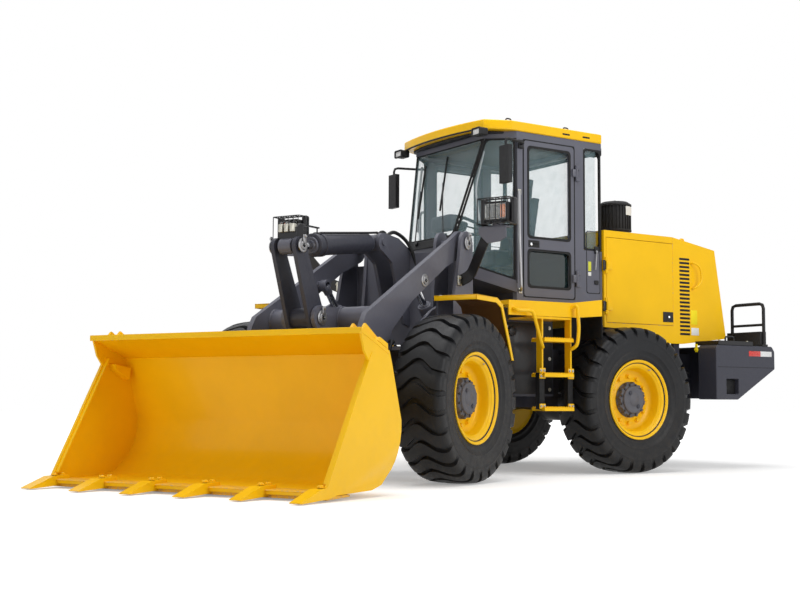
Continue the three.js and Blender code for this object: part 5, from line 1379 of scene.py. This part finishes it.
# %% Tail
skin("counterweight", deep_grey, "rear_frame", .022)
slope = np.array([-3.080 + 2.924, 0, 1.302 - 2.196])
slope /= np.linalg.norm(slope)
out = np.array([slope[2], 0, -slope[0]])
out *= -1 if out[0] > 0 else 1
top_edge = np.array([-2.924, 0, 2.196])


def on_tail(down, across, lift=0.0):
    """A point on the sloping tail: a distance down from its top edge, across, and out of the face."""
    return top_edge + slope * down + [0, across, 0] + out * lift


bars = []
for down in np.linspace(.16, .74, 17):
    a, b = on_tail(down, -.50, .004), on_tail(down, .50, .004)
    bars.append(swept(np.linspace(a, b, 2), [(-.003, -.010), (.003, -.010), (.003, .012), (-.003, .012)],
                      helper=out))
shade = np.stack([np.stack([on_tail(down, y, .003) for y in (-.51, .51)]) for down in (.14, .76)])
piece("grille_shadow", [sheet_of(shade)], louvre_shadow, "rear_grille_door")
piece("grille_bars", bars, black_enamel, "rear_grille_door")
frame_loop = [on_tail(down, y, .006) for down, y in ((.13, -.52), (.13, .52), (.77, .52), (.77, -.52),
                                                     (.13, -.52))]
piece("grille_border", [tube(rounded(frame_loop, .04), .008, 8)], yellow_enamel, "rear_grille_door")
for hand, side in (("left", 1), ("right", -1)):
    skin(f"{hand}_battery_lid", black_enamel, f"{hand}_battery_lid", .005)
    skin(f"{hand}_tail_lamp", black_plastic, "rear_frame", .008, 50)
    lens_box = [soft_box((-3.352, side * (y - .055), 1.245), (-3.338, side * (y + .055), 1.350), .010, 4)
                for y in (.70, .83)]
    piece(f"{hand}_brake_lenses", lens_box[:1], red_reflector, "rear_frame")
    piece(f"{hand}_turn_lens", lens_box[1:], amber_lens, "rear_frame")
    reverse = soft_box((-3.352, side * .905, 1.250), (-3.338, side * 1.010, 1.345), .010, 4)
    piece(f"{hand}_reverse_lens", [reverse], white_reflector, "rear_frame")
red = [soft_box((-3.220, 1.0795, 1.115), (-3.050, 1.0815, 1.167), .0008)]
white = [soft_box((-3.386, 1.0795, 1.115), (-3.222, 1.0815, 1.167), .0008)]
piece("counterweight_red_strip", both(red), red_reflector, "rear_frame")
piece("counterweight_white_strip", both(white), white_reflector, "rear_frame")
rear_strips = [soft_box((-3.4375, y - .12, 1.08), (-3.4355, y + .12, 1.13), .0008) for y in (-.80, .80)]
piece("counterweight_rear_strips", rear_strips, red_reflector, "rear_frame")
hasp = [soft_box((-2.5785, .812, 1.150), (-2.5700, .842, 1.232), .003),
        soft_box((-2.5785, .804, 1.165), (-2.5640, .850, 1.185), .003)]
piece("battery_hasps", both(hasp), yellow_label, "rear_frame")
pocket = [soft_box((-2.8945, 1.020, .7395), (-2.7275, 1.030, .8825), .001)]
piece("tow_pocket_shadow", both(pocket), louvre_shadow, "rear_frame")
lid_bolts = bolts([(-2.66, 1.05, 1.2605), (-3.06, 1.05, 1.2605)], (0, 0, 1), .020, .008)
piece("battery_lid_bolts", both(lid_bolts), zinc_bolts, "rear_frame")
seam = [cut_plate([(-2.60, 1.0), (-3.42, 1.0), (-3.42, 1.004), (-2.60, 1.004)], 1.0795, 1.0812)]
piece("counterweight_seams", both(seam), louvre_shadow, "rear_frame")
print("tail dressed")

# %% [markdown]
# The decks are folded treadplate with a ladder hung below on rubber.  The treads have serrated edges
# to grip a boot: one outline with teeth, made thick, does for each.

# %% Decks, ladders, rails
tread_x = np.linspace(-.700, -.370, 34)
saw = np.where(np.arange(34) % 2, 0.0, .012)
for hand, side in (("left", 1), ("right", -1)):
    flip = (lambda parts: parts) if side > 0 else mirrored
    skin(f"{hand}_deck", yellow_enamel, "rear_frame", .005)
    teeth = []
    for z in (.598, .897, 1.208):
        for y in (.945, 1.030, 1.112):
            line = np.concatenate([np.stack([tread_x, z + saw], axis=1),
                                   [(-.370, z - .004), (-.700, z - .004)]])
            teeth.append(cut_plate(line, y - .003, y + .003))
    piece(f"{hand}_tread_teeth", flip(teeth), yellow_enamel, "rear_frame")
    hangers = [soft_box((x - .030, 1.020, .585), (x + .030, 1.078, .905), .006) for x in (-.700, -.370)]
    piece(f"{hand}_rubber_hangers", flip(hangers), gasket_rubber, "rear_frame")
    pads = [soft_box((x - .034, 1.076, z - .022), (x + .034, 1.088, z + .022), .005) for x in (-.700, -.370)
            for z in (.875, .925, .612)]
    piece(f"{hand}_hanger_clamps", flip(pads), yellow_enamel, "rear_frame", bevel=.001)
    studs = [(x + dx, 1.088, z) for x in (-.700, -.370) for z in (.875, .925, .612) for dx in (-.018, .018)]
    piece(f"{hand}_hanger_bolts", flip(bolts(studs, (0, 1, 0), .016, .008)), zinc_bolts, "rear_frame")
    second = tube(rounded([(-.700, 1.095, 1.480), (-.720, 1.150, 1.520), (-.735, 1.155, 1.30),
                           (-.720, 1.150, 1.150), (-.700, 1.092, 1.120)], .05, 7), .016, 14)
    piece(f"{hand}_second_rail", flip([second]), yellow_enamel, "rear_frame")
    ribs = [soft_box((x - .012, y - .003, 1.5305), (x + .012, y + .003, 1.5335), .001)
            for x in np.arange(-1.0, -.05, .06) for y in np.arange(.80, 1.08, .055)]
    piece(f"{hand}_deck_studs", flip(ribs), yellow_enamel, "rear_frame")
    tank = [soft_box((-.155, .801, .72), (-.725, .8035, 1.36), .002),
            turned([(0, 0), (.042, 0), (.042, .018), (.036, .022), (0, .022)], (-.25, .803, 1.28),
                   (-.25, 1, 1.28), 32)]
    piece(f"{hand}_tank_face", flip(tank), black_enamel, "rear_frame", bevel=.001)
    fixing = [(x, .8035, z) for x in (-.19, -.69) for z in (.76, 1.04, 1.32)]
    piece(f"{hand}_tank_bolts", flip(bolts(fixing, (0, 1, 0), .022, .010)), zinc_bolts, "rear_frame")
    flap = soft_box((-1.080, .80, 1.05), (-1.070, 1.09, 1.43), .004)
    piece(f"{hand}_rear_mudflap", flip([flap]), gasket_rubber, "rear_frame")
print("decks, ladders and rails on both sides")

# %% Rear frame, axle, drive shaft, hoses at the pivot
skin("rear_frame", deep_grey, "rear_frame", .004)
skin("rear_axle", black_enamel, "rear_frame", .006)
shaft = [turned([(0, 0), (.045, 0), (.045, .04), (.030, .06), (.030, .90), (.045, .92), (.045, .96),
                 (0, .96)], (-1.22, 0, .70), (-.2, 0, .72), 28)]
piece("rear_drive_shaft", shaft, primer_orange, "rear_frame")
bars = [soft_box((-2.700, side * .585 - .012, z - .012), (-2.640, side * .585 + .012, z + .012), .004)
        for side in (1, -1) for z in (.85, .90, .95)]
piece("frame_tie_bars", bars, bare_steel, "rear_frame")
lines = []
for side in (1, -1):
    for k, z in enumerate((.985, 1.03, 1.075)):
        lines.append(tube(smooth_path([(-.62, side * (.20 + .03 * k), z),
                                       (-.36, side * (.22 + .03 * k), z + .02),
                                       (-.12, side * (.21 + .03 * k), z + .01), (-.05, side * .20, z)], 8),
                          .016, 10))
piece("pivot_hoses", lines, hose_rubber, "rear_frame")
grease = [turned([(0, 0), (.010, 0), (.010, .012), (.005, .014), (.005, .022), (0, .022)],
                 (-.62, side * .31, .775), (-.62, side * .31, 2), 12) for side in (1, -1)]
piece("grease_points", grease, zinc_bolts, "rear_frame")
print("body dressed")


# %% [markdown]
# The studio: a pale floor that runs out into a white world, with large soft lights overhead, at the
# side and ahead.  A curved backdrop would also work, but the camera stands low and looks slightly up,
# so a floor and a white sky meet in an even white behind the machine from any angle.

# %% Floor, world and lights
def studio_floor(reach=60.0, glow=0.30):
    """A flat square; to the camera and to gloss it glows, more with distance, so only the shadow is grey."""
    mesh = bpy.data.meshes.new("studio_floor")
    corners = np.array([[-1, -1, 0], [1, -1, 0], [1, 1, 0], [-1, 1, 0]]) * reach
    mesh.from_pydata(corners.tolist(), [], [(0, 1, 2, 3)])
    floor = bpy.data.objects.new("studio_floor", mesh)
    bpy.context.scene.collection.objects.link(floor)
    material = bpy.data.materials.new("studio_floor")
    material.use_nodes = True
    tree = material.node_tree
    shader = tree.nodes["Principled BSDF"]
    shader.inputs["Base Color"].default_value = (0.86, 0.86, 0.86, 1)
    shader.inputs["Roughness"].default_value = 0.9
    shader.inputs["Specular IOR Level"].default_value = 0.0
    rays = add(tree, "ShaderNodeLightPath")
    seen = seen_by_camera(tree, rays)
    strength = add(tree, "ShaderNodeMath", operation="MULTIPLY")
    away = add(tree, "ShaderNodeVectorMath", operation="LENGTH")
    tree.links.new(add(tree, "ShaderNodeTexCoord").outputs["Object"], away.inputs[0])
    tree.links.new(ramp(tree, away.outputs["Value"], 3.0, 11.0, glow, 1.1), strength.inputs[1])
    tree.links.new(seen, strength.inputs[0])
    shader.inputs["Emission Color"].default_value = (1, 1, 1, 1)
    tree.links.new(strength.outputs[0], shader.inputs["Emission Strength"])
    mesh.materials.append(material)
    return floor


def seen_by_camera(tree, rays):
    """1 for a ray from the camera, a mirror or through glass, 0 for light on its way to a surface."""
    total = rays.outputs["Is Camera Ray"]
    for name in ("Is Glossy Ray", "Is Transmission Ray"):
        either = add(tree, "ShaderNodeMath", operation="MAXIMUM")
        tree.links.new(total, either.inputs[0])
        tree.links.new(rays.outputs[name], either.inputs[1])
        total = either.outputs[0]
    return total


studio_floor()
sky = bpy.data.worlds.new("studio_sky")
bpy.context.scene.world = sky
sky.use_nodes = True
backdrop = sky.node_tree.nodes["Background"]
backdrop.inputs["Color"].default_value = (1, 1, 1, 1)
strength = add(sky.node_tree, "ShaderNodeMapRange")
strength.inputs["To Min"].default_value, strength.inputs["To Max"].default_value = 0.38, 1.0
sky.node_tree.links.new(seen_by_camera(sky.node_tree, add(sky.node_tree, "ShaderNodeLightPath")),
                        strength.inputs["Value"])
sky.node_tree.links.new(strength.outputs["Result"], backdrop.inputs["Strength"])


def soft_light(name, place_at, aim, size, power):
    """A square area light at one point, turned to face another."""
    light = bpy.data.lights.new(name, "AREA")
    light.shape, light.size, light.energy = "SQUARE", size, power
    lamp = bpy.data.objects.new(name, light)
    bpy.context.scene.collection.objects.link(lamp)
    away = np.asarray(place_at, float) - np.asarray(aim, float)
    away /= np.linalg.norm(away)
    side = np.cross([0, 0, 1.0], away) if abs(away[2]) < 0.99 else np.array([1.0, 0, 0])
    side /= np.linalg.norm(side)
    matrix = np.eye(4)
    matrix[:3, 0], matrix[:3, 1], matrix[:3, 2], matrix[:3, 3] = side, np.cross(away, side), away, place_at
    lamp.matrix_world = Matrix(matrix.tolist())
    return lamp


soft_light("overhead", (1.0, 0.5, 9.0), (0, 0, 0.5), 8.0, 540)
soft_light("side", (-4.0, 11.0, 5.0), (0, 0, 1.2), 6.0, 470)
soft_light("front", (12.0, 3.0, 4.0), (0, 0, 1.0), 5.0, 170)
print("floor, white sky and three lights")

# %% [markdown]
# The camera stands low, ahead and to the left of the machine, at a machine operator's knee height,
# with a lens a little longer than normal.

# %% Camera
EYE = place([6.817, 9.619, 0.641])
YAW, PITCH, ROLL = math.radians(-123.638), math.radians(4.634), math.radians(0.285)
ahead_dir = np.array([math.cos(PITCH) * math.cos(YAW), math.cos(PITCH) * math.sin(YAW), math.sin(PITCH)])
right_dir = np.array([math.sin(YAW), -math.cos(YAW), 0.0])
up_dir = np.cross(right_dir, ahead_dir)
right_dir, up_dir = (math.cos(ROLL) * right_dir + math.sin(ROLL) * up_dir,
                     -math.sin(ROLL) * right_dir + math.cos(ROLL) * up_dir)
lens = bpy.data.cameras.new("studio_camera")
lens.sensor_width, lens.lens = 36.0, 56.7
lens.clip_end = 200
camera = bpy.data.objects.new("studio_camera", lens)
bpy.context.scene.collection.objects.link(camera)
pose = np.eye(4)
pose[:3, 0], pose[:3, 1], pose[:3, 2], pose[:3, 3] = right_dir, up_dir, -ahead_dir, EYE
camera.matrix_world = Matrix(pose.tolist())
bpy.context.scene.camera = camera
bpy.context.scene.view_settings.view_transform = "Standard"
print("camera at", EYE.round(3), "with a lens of", round(lens.lens, 1), "mm")
